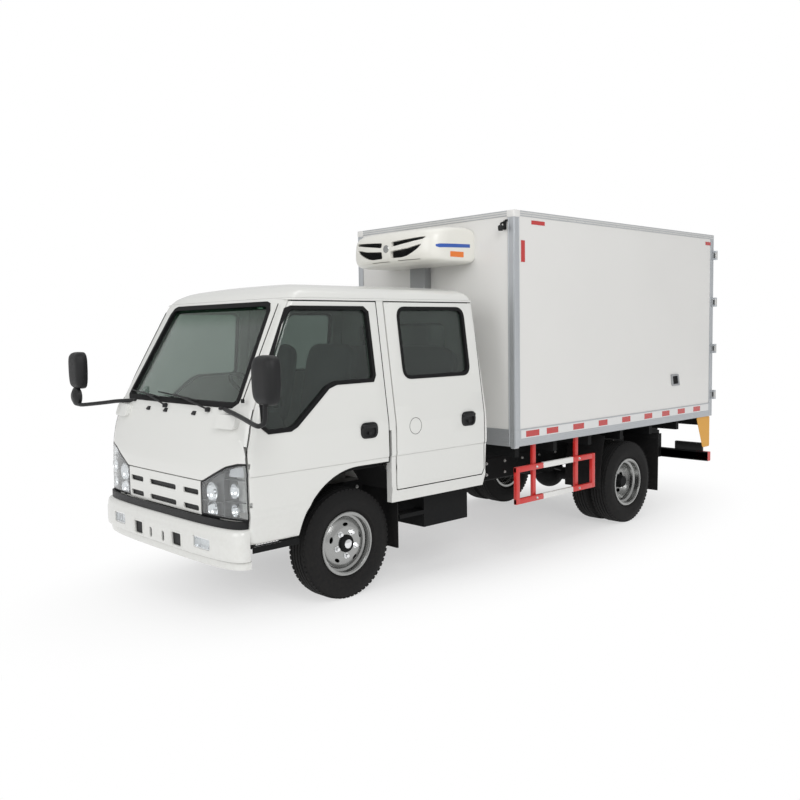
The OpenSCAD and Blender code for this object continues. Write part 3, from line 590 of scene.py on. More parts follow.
def _road_film(net: Net, put: dict, out: dict) -> None:
    """Paint that varies a little, with dust low down and in patches.

    Args:
        net: lays the nodes.
        put: the group's input sockets.
        out: its output sockets.
    """
    place = net.add("ShaderNodeTexCoord").outputs["Object"]
    split = net.add("ShaderNodeSeparateXYZ", {0: place}).outputs
    broad = net.noise(place, 1.7, 4.0)
    fine = net.noise(place, 38.0, 4.0, 0.6)
    tone = net.times(net.maths("SUBTRACT", broad, 0.5), put["Variation"])
    bright = net.add("ShaderNodeHueSaturation",
        {"Color": put["Colour"], "Value": net.maths("ADD", 1.0, tone)}).outputs[0]
    low = net.maths("SUBTRACT", 1.0, net.ramp(split[2], 0.25, 1.05))
    mask = net.times(net.times(low, net.ramp(fine, 0.3, 0.75)), put["Dust"])
    net.join(net.mix(mask, bright, put["Dust Colour"]), out["Colour"])
    rough = net.maths("ADD", put["Roughness"], net.times(net.maths("SUBTRACT", fine, 0.5), put["Spread"]))
    net.join(net.maths("ADD", rough, net.times(mask, 0.35), True), out["Roughness"])
    net.join(mask, out["Mask"])


def _grain(net: Net, put: dict, out: dict) -> None:
    """Height of a fine moulded or sprayed grain.

    Args:
        net: lays the nodes.
        put: the group's input sockets.
        out: its output sockets.
    """
    place = net.add("ShaderNodeTexCoord").outputs["Object"]
    pebble = net.add("ShaderNodeTexVoronoi", {"Vector": place, "Scale": put["Scale"]}, feature="SMOOTH_F1").outputs[0]
    soft = net.add("ShaderNodeTexNoise", {"Vector": place, "Scale": put["Scale"], "Detail": 2.0}).outputs[0]
    net.join(net.maths("ADD", net.times(pebble, put["Pebble"]), soft), out["Height"])


def _draw_lines(net: Net, put: dict, out: dict) -> None:
    """Height and tone of the fine lines that drawing or brushing leaves.

    Args:
        net: lays the nodes.
        put: the group's input sockets.
        out: its output sockets.
    """
    place = net.add("ShaderNodeTexCoord").outputs["Object"]
    stretch = net.vector(put["Along X"], put["Along Y"], put["Along Z"])
    scaled = net.add("ShaderNodeVectorMath", {0: place, 1: stretch}, operation="MULTIPLY").outputs[0]
    lines = net.noise(scaled, 1.0, 5.0, 0.65)
    net.join(lines, out["Height"])
    net.join(lines, out["Tone"])


ROAD_FILM = group("road_film", {"Colour": (0.8, 0.8, 0.8), "Variation": 0.05, "Dust": 0.2,
    "Dust Colour": (0.32, 0.28, 0.23), "Roughness": 0.4, "Spread": 0.1},
    {"Colour": "NodeSocketColor", "Roughness": "NodeSocketFloat", "Mask": "NodeSocketFloat"}, _road_film)
GRAIN = group("moulded_grain", {"Scale": 900.0, "Pebble": 0.6}, {"Height": "NodeSocketFloat"}, _grain)
DRAWN = group("drawn_lines", {"Along X": 3.0, "Along Y": 400.0, "Along Z": 400.0},
    {"Height": "NodeSocketFloat", "Tone": "NodeSocketFloat"}, _draw_lines)


def started(name: str) -> tuple[bpy.types.Material, Net | None]:
    """A finish's material: the one already built, or a new one and the net to lay its nodes in.

    Args:
        name: the finish's name.

    Returns:
        The material, and its net where it still has to be laid.
    """
    made = bpy.data.materials.get("look_" + name)
    if made:
        return made, None
    made = bpy.data.materials.new("look_" + name)
    made.use_nodes = True
    return made, Net(made.node_tree)


@dataclass(frozen=True)
class Finish:
    """One finish of the truck: its colour, gloss, grain and road film."""

    name: str
    colour: Triple
    roughness: float = 0.45
    metallic: float = 0.0
    coat: float = 0.0
    grain: float = 900.0
    pebble: float = 0.6
    depth: float = 0.02
    variation: float = 0.06
    dust: float = 0.15
    spread: float = 0.12
    sheen: float = 0.0
    specular: float = 0.5
    drawn: Triple | None = None

    def material(self) -> bpy.types.Material:
        """The material, built once.

        Returns:
            The material.
        """
        made, net = started(self.name)
        if net is None:
            return made
        shader = made.node_tree.nodes["Principled BSDF"]
        for key, value in (("Metallic", self.metallic), ("Coat Weight", self.coat), ("Coat Roughness", 0.06),
                ("Sheen Weight", self.sheen), ("Specular IOR Level", self.specular)):
            shader.inputs[key].default_value = value
        film = net.add("ShaderNodeGroup", {"Colour": rgba(self.colour), "Variation": self.variation,
            "Dust": self.dust, "Roughness": self.roughness, "Spread": self.spread}, node_tree=ROAD_FILM)
        net.join(film.outputs["Colour"], shader.inputs["Base Color"])
        net.join(film.outputs["Roughness"], shader.inputs["Roughness"])
        height = self.relief(net)
        bump = net.add("ShaderNodeBump", {"Height": height, "Strength": 1.0, "Distance": self.depth * 0.01})
        net.join(bump.outputs[0], shader.inputs["Normal"])
        return made

    def relief(self, net: Net) -> Socket:
        """Height of the finish's grain.

        Args:
            net: lays the nodes.

        Returns:
            The height.
        """
        if self.drawn:
            lines = net.add("ShaderNodeGroup", {0: self.drawn[0], 1: self.drawn[1], 2: self.drawn[2]},
                node_tree=DRAWN)
            return lines.outputs["Height"]
        grain = net.add("ShaderNodeGroup", {0: self.grain, 1: self.pebble}, node_tree=GRAIN)
        return grain.outputs["Height"]


@dataclass(frozen=True)
class GlassFinish:
    """Tinted or clear glass."""

    name: str
    tint: Triple
    through: float = 0.9
    roughness: float = 0.0
    band: float = 0.0

    def material(self) -> bpy.types.Material:
        """The material, built once.

        Returns:
            The material.
        """
        made, net = started(self.name)
        if net is None:
            return made
        shader = made.node_tree.nodes["Principled BSDF"]
        shader.inputs["Transmission Weight"].default_value = self.through
        shader.inputs["IOR"].default_value = 1.45
        place = net.add("ShaderNodeTexCoord").outputs["Object"]
        smear = net.noise(place, 6.0, 4.0)
        shader.inputs["Roughness"].default_value = self.roughness
        colour = net.mix(net.ramp(smear, 0.2, 0.8), rgba([c * 0.92 for c in self.tint]), rgba(self.tint))
        if self.band:
            z = net.add("ShaderNodeSeparateXYZ", {0: place}).outputs[2]
            colour = net.mix(net.ramp(z, self.band, self.band + 0.16), colour, rgba((0.1, 0.22, 0.14)))
        net.join(colour, shader.inputs["Base Color"])
        return made


@dataclass(frozen=True)
class WeaveFinish(Finish):
    """Woven seat cloth."""

    pitch: float = 900.0

    def relief(self, net: Net) -> Socket:
        """Height of crossing threads.

        Args:
            net: lays the nodes.

        Returns:
            The height.
        """
        place = net.add("ShaderNodeTexCoord").outputs["Object"]
        split = net.add("ShaderNodeSeparateXYZ", {0: place}).outputs
        warp = net.maths("SINE", net.times(net.maths("ADD", split[0], split[2]), self.pitch * 2))
        weft = net.maths("SINE", net.times(split[1], self.pitch * 2))
        return net.times(warp, weft)


CAB_WHITE = Finish("cab_white", (0.735, 0.738, 0.712), 0.3, coat=0.5, grain=700.0, pebble=0.2, depth=0.0012,
    variation=0.03, dust=0.1, spread=0.05)
BOX_WHITE = Finish("box_panel_white", (0.76, 0.755, 0.735), 0.36, coat=0.25, grain=60.0, pebble=0.1, depth=0.012,
    variation=0.05, dust=0.06, spread=0.06)
ALUMINIUM = Finish("extruded_aluminium", (0.5, 0.52, 0.54), 0.38, metallic=0.75, depth=0.02, variation=0.12,
    drawn=(6.0, 300.0, 300.0), dust=0.1)
UPRIGHT_ALUMINIUM = replace(ALUMINIUM, name="upright_aluminium", drawn=(300.0, 300.0, 6.0))
PALE_RAIL = Finish("pale_rail", (0.66, 0.66, 0.645), 0.4, metallic=0.25, depth=0.02, variation=0.1,
    drawn=(6.0, 300.0, 300.0), dust=0.05)
STEEL = Finish("zinc_steel", (0.55, 0.55, 0.54), 0.32, metallic=0.9, depth=0.02, variation=0.15,
    drawn=(200.0, 200.0, 8.0))
CHROME = Finish("bright_chrome", (0.82, 0.83, 0.84), 0.1, metallic=1.0, depth=0.004, variation=0.04, dust=0.05)
CHASSIS_BLACK = Finish("chassis_black", (0.0065, 0.007, 0.0075), 0.6, depth=0.05, grain=500.0, variation=0.3,
    dust=0.012, specular=0.12)
ENGINE_GREY = Finish("cast_grey", (0.16, 0.16, 0.155), 0.62, metallic=0.3, grain=320.0, depth=0.12, variation=0.35,
    dust=0.3)
TYRE = Finish("tyre_rubber", (0.0095, 0.0095, 0.0098), 0.8, grain=700.0, depth=0.05, variation=0.35, dust=0.02,
    specular=0.22)
WHEEL_SILVER = Finish("wheel_silver", (0.36, 0.365, 0.36), 0.24, metallic=0.95, coat=0.1, grain=380.0, depth=0.006,
    variation=0.1, dust=0.1)
TRIM_BLACK = Finish("moulded_black", (0.008, 0.0083, 0.009), 0.46, grain=1100.0, depth=0.04, variation=0.2,
    dust=0.015, specular=0.3)
SEAL_BLACK = Finish("seal_rubber", (0.006, 0.006, 0.0065), 0.72, grain=900.0, depth=0.03, variation=0.2, dust=0.03,
    specular=0.2)
GUARD_RED = Finish("guard_red", (0.62, 0.022, 0.018), 0.36, coat=0.3, grain=300.0, depth=0.02, variation=0.12,
    dust=0.08)
GUARD_WHITE = Finish("guard_white", (0.8, 0.8, 0.78), 0.38, grain=300.0, depth=0.02, variation=0.08, dust=0.08)
UNIT_CREAM = Finish("unit_cream", (0.8, 0.79, 0.735), 0.36, coat=0.25, grain=240.0, depth=0.02, variation=0.04,
    dust=0.0)
UNIT_GREY = Finish("unit_grey", (0.33, 0.34, 0.35), 0.5, metallic=0.2, grain=500.0, depth=0.03, variation=0.15)
CABIN_GREY = Finish("cabin_grey", (0.085, 0.088, 0.092), 0.65, grain=900.0, depth=0.08, variation=0.12, dust=0.0)
SEAT_CLOTH = WeaveFinish("seat_cloth", (0.1, 0.105, 0.12), 0.88, depth=0.05, variation=0.2, dust=0.0, sheen=0.3)
LAMP_RED = Finish("lamp_red", (0.5, 0.012, 0.01), 0.16, coat=0.6, grain=420.0, pebble=1.0, depth=0.04, variation=0.1,
    dust=0.05)
LAMP_AMBER = replace(LAMP_RED, name="lamp_amber", colour=(0.75, 0.25, 0.02), roughness=0.18)
LAMP_WHITE = replace(LAMP_RED, name="lamp_white", colour=(0.7, 0.71, 0.72), variation=0.06)
LAMP_BOWL = Finish("lamp_bowl", (0.17, 0.175, 0.17), 0.3, metallic=0.35, grain=300.0, depth=0.01, variation=0.1,
    dust=0.0)
YELLOW = Finish("marker_yellow", (0.74, 0.36, 0.03), 0.4, grain=300.0, depth=0.02, variation=0.08, dust=0.06)
BLUE_TAPE = Finish("blue_tape", (0.03, 0.1, 0.42), 0.35, grain=400.0, depth=0.01, variation=0.08, dust=0.0)
ORANGE_TAPE = replace(BLUE_TAPE, name="orange_tape", colour=(0.8, 0.2, 0.03), roughness=0.4)
TAPE_WHITE = Finish("reflective_tape", (0.72, 0.725, 0.72), 0.3, coat=0.3, grain=1400.0, pebble=1.0, depth=0.01,
    variation=0.05, dust=0.05)
SIDE_GLASS = GlassFinish("side_glass", (0.26, 0.31, 0.285), 0.95)
SCREEN_GLASS = GlassFinish("screen_glass", (0.48, 0.55, 0.51), 0.95, band=1.86)
CLEAR_LENS = GlassFinish("clear_lens", (0.93, 0.95, 0.96), 0.96)
MIRROR_GLASS = Finish("mirror_silver", (0.85, 0.86, 0.87), 0.04, metallic=1.0, depth=0.001, grain=20.0,
    variation=0.02, dust=0.0)


# ---------------------------------------------------------------- pieces on the frame


def smooth(mesh: bpy.types.Mesh, angle: float = 32.0) -> None:
    """Shades a mesh smooth, with its sharp edges kept.

    Args:
        mesh: the mesh.
        angle: edges sharper than this, in degrees, stay sharp.
    """
    bm = bmesh.new()
    bm.from_mesh(mesh)
    for f in bm.faces:
        f.smooth = True
    for e in bm.edges:
        e.smooth = len(e.link_faces) == 2 and e.calc_face_angle(0) < math.radians(angle)
    bm.to_mesh(mesh)
    bm.free()


def put(name: str, what: Shape | bpy.types.Mesh, finish: Finish | GlassFinish, slot: str, body: str = ROOT,
        stands_for: Sequence[str] = (), angle: float = 32.0) -> bpy.types.Object:
    """Stands a finished piece on its body.

    Args:
        name: piece name.
        what: its shape or mesh.
        finish: its finish.
        slot: the record's material slot; not used.
        body: the body it moves with.
        stands_for: CAD nodes it replaces.
        angle: edges sharper than this, in degrees, stay sharp.

    Returns:
        The object.
    """
    mesh = what.mesh(name) if isinstance(what, Shape) else what
    mesh.name = name
    smooth(mesh, angle)
    mesh.materials.clear()
    mesh.materials.append(finish.material())
    obj = bpy.data.objects.new(name, mesh)
    bpy.context.scene.collection.objects.link(obj)
    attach(obj, body)
    if stands_for:
        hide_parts(*stands_for)
    LOG.info("%s: %d faces on %s", name, len(mesh.polygons), body)
    return obj


def dress(node: str, finish: Finish | GlassFinish) -> None:
    """Gives a CAD node its finish and leaves its shape alone.

    Args:
        node: name of the CAD node.
        finish: its finish.
    """
    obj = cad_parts[node]
    obj.data.materials.clear()
    obj.data.materials.append(finish.material())
    LOG.info("%s keeps its shape, finished in %s", node, finish.name)


# ---------------------------------------------------------------- repeats by Geometry Nodes


class Repeat(Enum):
    """What is set on each point."""

    HEAD = "hex_head"
    RIVET = "rivet"
    BLOCK = "block"


def _repeat_group(kind: Repeat) -> bpy.types.NodeTree:
    """The node group that sets one fastener, rivet or block on every point of a mesh.

    Args:
        kind: what is repeated.

    Returns:
        The group, with its inputs named.
    """
    found = bpy.data.node_groups.get(kind.value)
    if found:
        return found
    tree = bpy.data.node_groups.new(kind.value, "GeometryNodeTree")
    tree.interface.new_socket("Geometry", in_out="INPUT", socket_type="NodeSocketGeometry")
    for key, value in (("Width", 0.02), ("Depth", 0.02), ("Height", 0.01), ("Spread", 0.0)):
        tree.interface.new_socket(key, in_out="INPUT", socket_type="NodeSocketFloat").default_value = value
    tree.interface.new_socket("Seed", in_out="INPUT", socket_type="NodeSocketInt").default_value = 3
    tree.interface.new_socket("Material", in_out="INPUT", socket_type="NodeSocketMaterial")
    tree.interface.new_socket("Geometry", in_out="OUTPUT", socket_type="NodeSocketGeometry")
    net = Net(tree)
    start, end = net.add("NodeGroupInput"), net.add("NodeGroupOutput")
    have = start.outputs
    wide, deep, high = have["Width"], have["Depth"], have["Height"]
    radius = net.times(wide, 0.5)

    def changed(part: bpy.types.Node, key: str, by: Socket) -> bpy.types.Node:
        """A part moved or scaled by a vector."""
        return net.add("GeometryNodeTransform", {"Geometry": part.outputs[0], key: by})

    if kind is Repeat.HEAD:
        head = net.add("GeometryNodeMeshCylinder", {"Vertices": 6, "Radius": radius, "Depth": high})
        face = net.add("GeometryNodeMeshCone", {"Vertices": 6, "Radius Bottom": radius,
            "Radius Top": net.times(radius, 0.82), "Depth": net.times(radius, 0.16)})
        washer = net.add("GeometryNodeMeshCylinder", {"Vertices": 20, "Radius": net.times(radius, 1.35),
            "Depth": net.times(high, 0.22)})
        parts = [changed(head, "Translation", net.vector(z=net.times(high, 0.5))),
            changed(face, "Translation", net.vector(z=high)), washer]
    elif kind is Repeat.RIVET:
        ball = net.add("GeometryNodeMeshUVSphere", {"Segments": 14, "Rings": 8, "Radius": radius})
        parts = [changed(ball, "Scale", net.vector(1.0, 1.0, net.maths("DIVIDE", high, radius)))]
    else:
        crown = net.vector(net.times(wide, 0.86), net.times(deep, 0.86), net.times(high, 1.12))
        parts = [net.add("GeometryNodeMeshCube", {"Size": size}) for size in (net.vector(wide, deep, high), crown)]
    joined = net.add("GeometryNodeJoinGeometry")
    for part in reversed(parts):
        net.join(part.outputs[0], joined.inputs[0])
    aim, run = (net.add("GeometryNodeInputNamedAttribute", {"Name": key}, data_type="FLOAT_VECTOR").outputs[0]
        for key in ("aim", "run"))
    facing = net.add("FunctionNodeAlignRotationToVector", {"Vector": aim}, axis="Z").outputs[0]
    turned_to = net.add("FunctionNodeAlignRotationToVector", {"Rotation": facing, "Vector": run}, axis="X",
        pivot_axis="Z").outputs[0]
    chance = net.add("FunctionNodeRandomValue", {"Seed": have["Seed"]}, data_type="FLOAT")
    chance.inputs["Min"].default_value = -1.0
    spin = net.times(chance.outputs["Value"], have["Spread"])
    euler = net.add("FunctionNodeEulerToRotation", {0: net.vector(z=spin)})
    final = net.add("FunctionNodeRotateRotation", {"Rotation": turned_to, "Rotate By": euler.outputs[0]},
        rotation_space="LOCAL").outputs[0]
    copies = net.add("GeometryNodeInstanceOnPoints", {"Points": have["Geometry"], "Instance": joined.outputs[0],
        "Rotation": final})
    real = net.add("GeometryNodeRealizeInstances", {"Geometry": copies.outputs[0]})
    last = net.add("GeometryNodeSetMaterial", {"Geometry": real.outputs[0], "Material": have["Material"]})
    net.join(last.outputs[0], end.inputs[0])
    return tree


@dataclass(frozen=True)
class Spot:
    """A place for one repeated thing: where it is, where it faces and which way it runs."""

    at: Triple
    aim: Triple
    run: Triple = (1.0, 0.0, 0.0)


def repeated(kind: Repeat, spots: Sequence[Spot], width: float, height: float, depth: float = 0.0,
        spread: float = 0.0, seed: int = 3) -> Shape:
    """The same small thing on many spots, laid by Geometry Nodes.

    Args:
        kind: what is repeated.
        spots: where it stands.
        width: its width in metres.
        height: its height in metres.
        depth: its length where it isn't round.
        spread: most it is turned about its own axis, in radians.
        seed: fixed seed of that turn.

    Returns:
        The realised shape.
    """
    mesh = bpy.data.meshes.new("spots")
    mesh.from_pydata([s.at for s in spots], [], [])
    for key in ("aim", "run"):
        layer = mesh.attributes.new(key, "FLOAT_VECTOR", "POINT")
        layer.data.foreach_set("vector", [c for s in spots for c in getattr(s, key)])
    obj = bpy.data.objects.new("spots", mesh)
    bpy.context.scene.collection.objects.link(obj)
    tree = _repeat_group(kind)
    laid = obj.modifiers.new("repeat", "NODES")
    laid.node_group = tree
    named = {item.name: item.identifier for item in tree.interface.items_tree if item.in_out == "INPUT"}
    for key, value in (("Width", width), ("Depth", depth or width), ("Height", height), ("Spread", spread),
            ("Seed", seed), ("Material", STEEL.material())):
        laid[named[key]] = value
    return shape_of(evaluated(obj))


# ---------------------------------------------------------------- the cab's outer form


def sideways(outline: Sequence[Pair]) -> list[Pair]:
    """Outline corners measured from the front axle, carried into the truck's frame."""
    return [(x + AXLE_X, z) for x, z in outline]


def arc(centre: Pair, radius: float, start: float, end: float, steps: int) -> list[Pair]:
    """Points on an arc, its angles in degrees."""
    return [(centre[0] + radius * math.cos(math.radians(a)), centre[1] + radius * math.sin(math.radians(a)))
        for a in np.linspace(start, end, steps + 1)]


ARCH = ((-0.03, 0.4), 0.532, -0.332)
FRONT_DOOR = ([(0.847, 0.54), (0.847, 1.372), (0.8, 1.44), (0.655, 1.7), (0.548, 1.9), (0.462, 2.045),
    (-0.305, 2.045), (-0.305, 0.932)] + arc(ARCH[0], ARCH[1], 90, 15.4, 22))
REAR_DOOR = [(-0.385, 0.724), (-0.385, 2.045), (-1.31, 2.045), (-1.31, 0.764), (-1.28, 0.724)]
FRONT_WINDOW = [(-0.185, 2.006), (-0.222, 1.975), (-0.226, 1.54), (-0.205, 1.503), (0.12, 1.5), (0.19, 1.478),
    (0.3, 1.39), (0.48, 1.25), (0.53, 1.228), (0.7, 1.226), (0.742, 1.262), (0.732, 1.4), (0.6, 1.73), (0.515, 1.905),
    (0.452, 1.99), (0.425, 2.006)]
REAR_WINDOW = rectangle((-1.195, 1.505), (-0.505, 2.006), 0.075, 6)
WINDSCREEN = [(-0.69, 1.385), (0.69, 1.385), (0.728, 1.412), (0.728, 1.44), (0.646, 1.985), (0.618, 2.028),
    (0.58, 2.04), (-0.58, 2.04), (-0.618, 2.028), (-0.646, 1.985), (-0.728, 1.44), (-0.728, 1.412)]
BACK_WINDOW = rectangle((-0.52, 1.48), (0.52, 1.9), 0.08, 6)
LAMP = [(0.49, 0.69), (0.96, 0.69), (0.96, 1.052), (0.84, 1.046), (0.74, 1.022), (0.52, 0.918), (0.49, 0.908)]
DOOR_GAP = 0.008
DRIP_Z = 2.068
SKIN = 0.016
LINING_DEPTH = 0.012
GLASS_DEPTHS = (0.018, 0.024)
BACK_WALL = (-1.5, -1.2)
LAMP_REACH = 0.7
NOSE_X = 0.855
HINGE_X = {"front": 0.817, "rear": -0.415}
HINGE_HEIGHTS = {"front": (0.79, 1.03), "rear": (0.88, 1.16)}
HANDLE_X = {"front": -0.044, "rear": -1.051}
HANDLE_HEIGHT = 1.17
FLAP_CENTRE = (-0.5685, 1.16)


@dataclass
class CabForm:
    """The cab's outer form: rounded level sections between a side and a front outline."""

    front: Sequence[Pair] = ((0.918, 0.535), (0.937, 0.6), (0.945, 0.68), (0.945, 0.9), (0.934, 1.01), (0.908, 1.16),
        (0.872, 1.29), (0.838, 1.368), (0.458, 2.046), (0.412, 2.102), (0.32, 2.15), (0.15, 2.18), (-0.1, 2.1915))
    back: Sequence[Pair] = ((-0.7, 2.186), (-1.18, 2.168), (-1.275, 2.146), (-1.318, 2.112), (-1.338, 2.06),
        (-1.366, 1.5), (-1.38, 1.03), (-1.362, 0.7), (-1.3, 0.535))
    half: Sequence[Pair] = ((0.912, 0.535), (0.914, 0.688), (0.921, 0.712), (0.921, 0.734), (0.9165, 0.752),
        (0.9165, 0.954), (0.925, 0.974), (0.9242, 1.02), (0.9215, 1.2), (0.8, 2.062), (0.774, 2.112), (0.71, 2.142),
        (0.505, 2.172), (0.2, 2.19))
    nose: Pair = (0.14, 3.4)
    pillar: Sequence[Pair] = ((1.28, 0.14), (1.4, 0.125), (1.7, 0.095), (2.05, 0.068), (2.19, 0.1))
    tail: Pair = (0.06, 4.5)
    made: dict[float, Shape] = field(default_factory=dict)

    def limits(self, inset: float) -> tuple[Callable, Callable, Callable, list[float]]:
        """Front, back and half width over the height, and the heights that matter.

        Args:
            inset: how far every face is moved in.

        Returns:
            Three functions of z and the levels.
        """
        side = list(self.front) + list(self.back)
        soft = offset(rounded(side, 0.03, 4), -inset)
        across = list(self.half) + [(-y, z) for y, z in reversed(self.half)]
        wide = offset(rounded(across, 0.022, 4), -inset)
        cut_side = max(range(len(soft)), key=lambda i: soft[i][1])
        cut_wide = max(range(len(wide)), key=lambda i: wide[i][1])
        fore, aft = np.array(soft[:cut_side + 1]), np.array(soft[cut_side:][::-1])
        lateral = np.array(wide[:cut_wide + 1])
        fore, aft, lateral = (c[np.argsort(c[:, 1], kind="stable")] for c in (fore, aft, lateral))
        top = min(fore[-1, 1], lateral[-1, 1]) - 0.0004
        low = max(fore[0, 1], aft[0, 1], lateral[0, 1])
        marks = sorted({round(float(z), 4) for c in (fore, aft, lateral) for z in c[:, 1] if low < z < top})
        levels = [low]
        for z in marks + [top]:
            if z - levels[-1] > 0.0018:
                gap = z - levels[-1]
                levels += list(np.linspace(levels[-1], z, max(1, int(gap / 0.09)) + 1)[1:])
        return (lambda z: float(np.interp(z, fore[:, 1], fore[:, 0])),
            lambda z: float(np.interp(z, aft[:, 1], aft[:, 0])),
            lambda z: float(np.interp(z, lateral[:, 1], lateral[:, 0])), levels)

    def corner(self, z: float) -> float:
        """How far back the front corner's curve reaches at a height."""
        heights, reach = zip(*self.pillar)
        return float(np.interp(z, heights, reach))

    def side_zone(self, depth: float, side: int = LEFT) -> Shape:
        """The room outside one side wall's face, at a depth from the skin.

        Args:
            depth: how far inside the skin it starts.
            side: LEFT or RIGHT.

        Returns:
            The room as a solid.
        """
        half = self.limits(0.0)[2]
        marks = [0.4] + list(np.linspace(0.72, 2.1, 70))
        edge = [(half(z) - depth, z) for z in marks]
        made = prism(edge + [(1.3, 2.1), (1.3, 0.4)], AXLE_X - 1.6, AXLE_X + 1.2, "x")
        return made.on(side)

    def section(self, fore: float, aft: float, half: float, z: float, steps: int = 26) -> np.ndarray:
        """One level section, rounded at its corners.

        Args:
            fore: its front end, from the front axle.
            aft: its back end.
            half: its half width.
            z: its height.
            steps: points on each quarter of the front.

        Returns:
            The section's points.
        """
        long, power = self.corner(z), self.nose[1]
        angle = np.linspace(-math.pi / 2, math.pi / 2, 2 * steps + 1)
        nose = np.stack([fore - long + long * swell(np.cos(angle), power), half * swell(np.sin(angle), power)], 1)
        deep, stiff = self.tail
        tail = np.stack([aft + deep - deep * swell(np.cos(angle[::-1]), stiff),
            half * swell(np.sin(angle[::-1]), stiff)], 1)
        mids = np.linspace(nose[-1, 0], tail[0, 0], 12)[1:-1]
        left = np.stack([mids, np.full(10, half)], 1)
        right = np.stack([mids[::-1], np.full(10, -half)], 1)
        plan = np.vstack([nose, left, tail, right])
        return np.column_stack([plan[:, 0] + AXLE_X, plan[:, 1], np.full(len(plan), z)])

    def solid(self, inset: float) -> Shape:
        """The whole form as a solid, with its faces moved in.

        Args:
            inset: how far, in metres; negative moves them out.

        Returns:
            The closed solid.
        """
        if inset not in self.made:
            fore, aft, half, levels = self.limits(inset)
            rings = [self.section(fore(z), aft(z), half(z), z) for z in levels]
            self.made[inset] = skin(rings)
        return self.made[inset]

    def layer(self, outer: float, inner: float) -> Shape:
        """What lies between two depths."""
        return carve(self.solid(outer), self.solid(inner))

    def half_at(self, z: float) -> float:
        """Half width at a height."""
        return self.limits(0.0)[2](z)

    def side_at(self, x: float, z: float) -> float:
        """Half width of the skin at a place on the nose's corner.

        Args:
            x: how far forward, from the front axle.
            z: height.

        Returns:
            The distance from the middle plane.
        """
        fore, _, half, _ = self.limits(0.0)
        long, power = self.corner(z), self.nose[1]
        part = max(0.0, (x - fore(z) + long) / long)
        return half(z) * max(0.0, 1 - part ** power) ** (1 / power)

    def front_at(self, y: float, z: float) -> float:
        """How far forward the skin stands, in the truck's frame.

        Args:
            y: how far from the middle plane.
            z: height.

        Returns:
            The skin's x.
        """
        fore, _, half, _ = self.limits(0.0)
        long, power = self.corner(z), self.nose[1]
        return AXLE_X + fore(z) - long + long * max(0.0, 1 - (abs(y) / half(z)) ** power) ** (1 / power)


FORM = CabForm()


def keep(shape: Shape, tool: Shape) -> Shape:
    """What two solids have in common."""
    return carve(shape, tool, Cut.COMMON)


def sides_prism(outline: Sequence[Pair], side: int = LEFT, low: float = 0.5, high: float = 1.1) -> Shape:
    """A side outline, measured from the front axle, carried through one side wall."""
    made = prism(sideways(outline), low, high, "y")
    return made.on(side)


def ahead_prism(outline: Sequence[Pair], low: float = 0.3, high: float = 1.2) -> Shape:
    """A front outline given a length in x, measured from the front axle."""
    return prism(outline, low + AXLE_X, high + AXLE_X, "x")


def cab_block(lo: Triple, hi: Triple, bevel: float = 0.0) -> Shape:
    """A block with its x measured from the front axle."""
    return block((lo[0] + AXLE_X, lo[1], lo[2]), (hi[0] + AXLE_X, hi[1], hi[2]), bevel)


def cad_shape(node: str) -> Shape:
    """A copy of a CAD node's shape, with its doubled points merged."""
    return outward(shape_of(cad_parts[node].data))


def seal(outline: Sequence[Pair], prism_of: Callable[[Sequence[Pair]], Shape], wide: float = 0.02, lap: float = 0.006,
        proud: float = 0.003) -> Shape:
    """A rubber seal that follows the cab's form round an opening.

    Args:
        outline: the opening.
        prism_of: gives an outline its length through the wall.
        wide: how much of the opening it covers.
        lap: how far it reaches over the sheet around it.
        proud: how far it stands out.

    Returns:
        The seal.
    """
    ring = carve(prism_of(offset(outline, lap)), prism_of(offset(outline, -wide)))
    return bevelled(keep(FORM.layer(-proud, 0.028), ring), 0.0015, 1, 50)


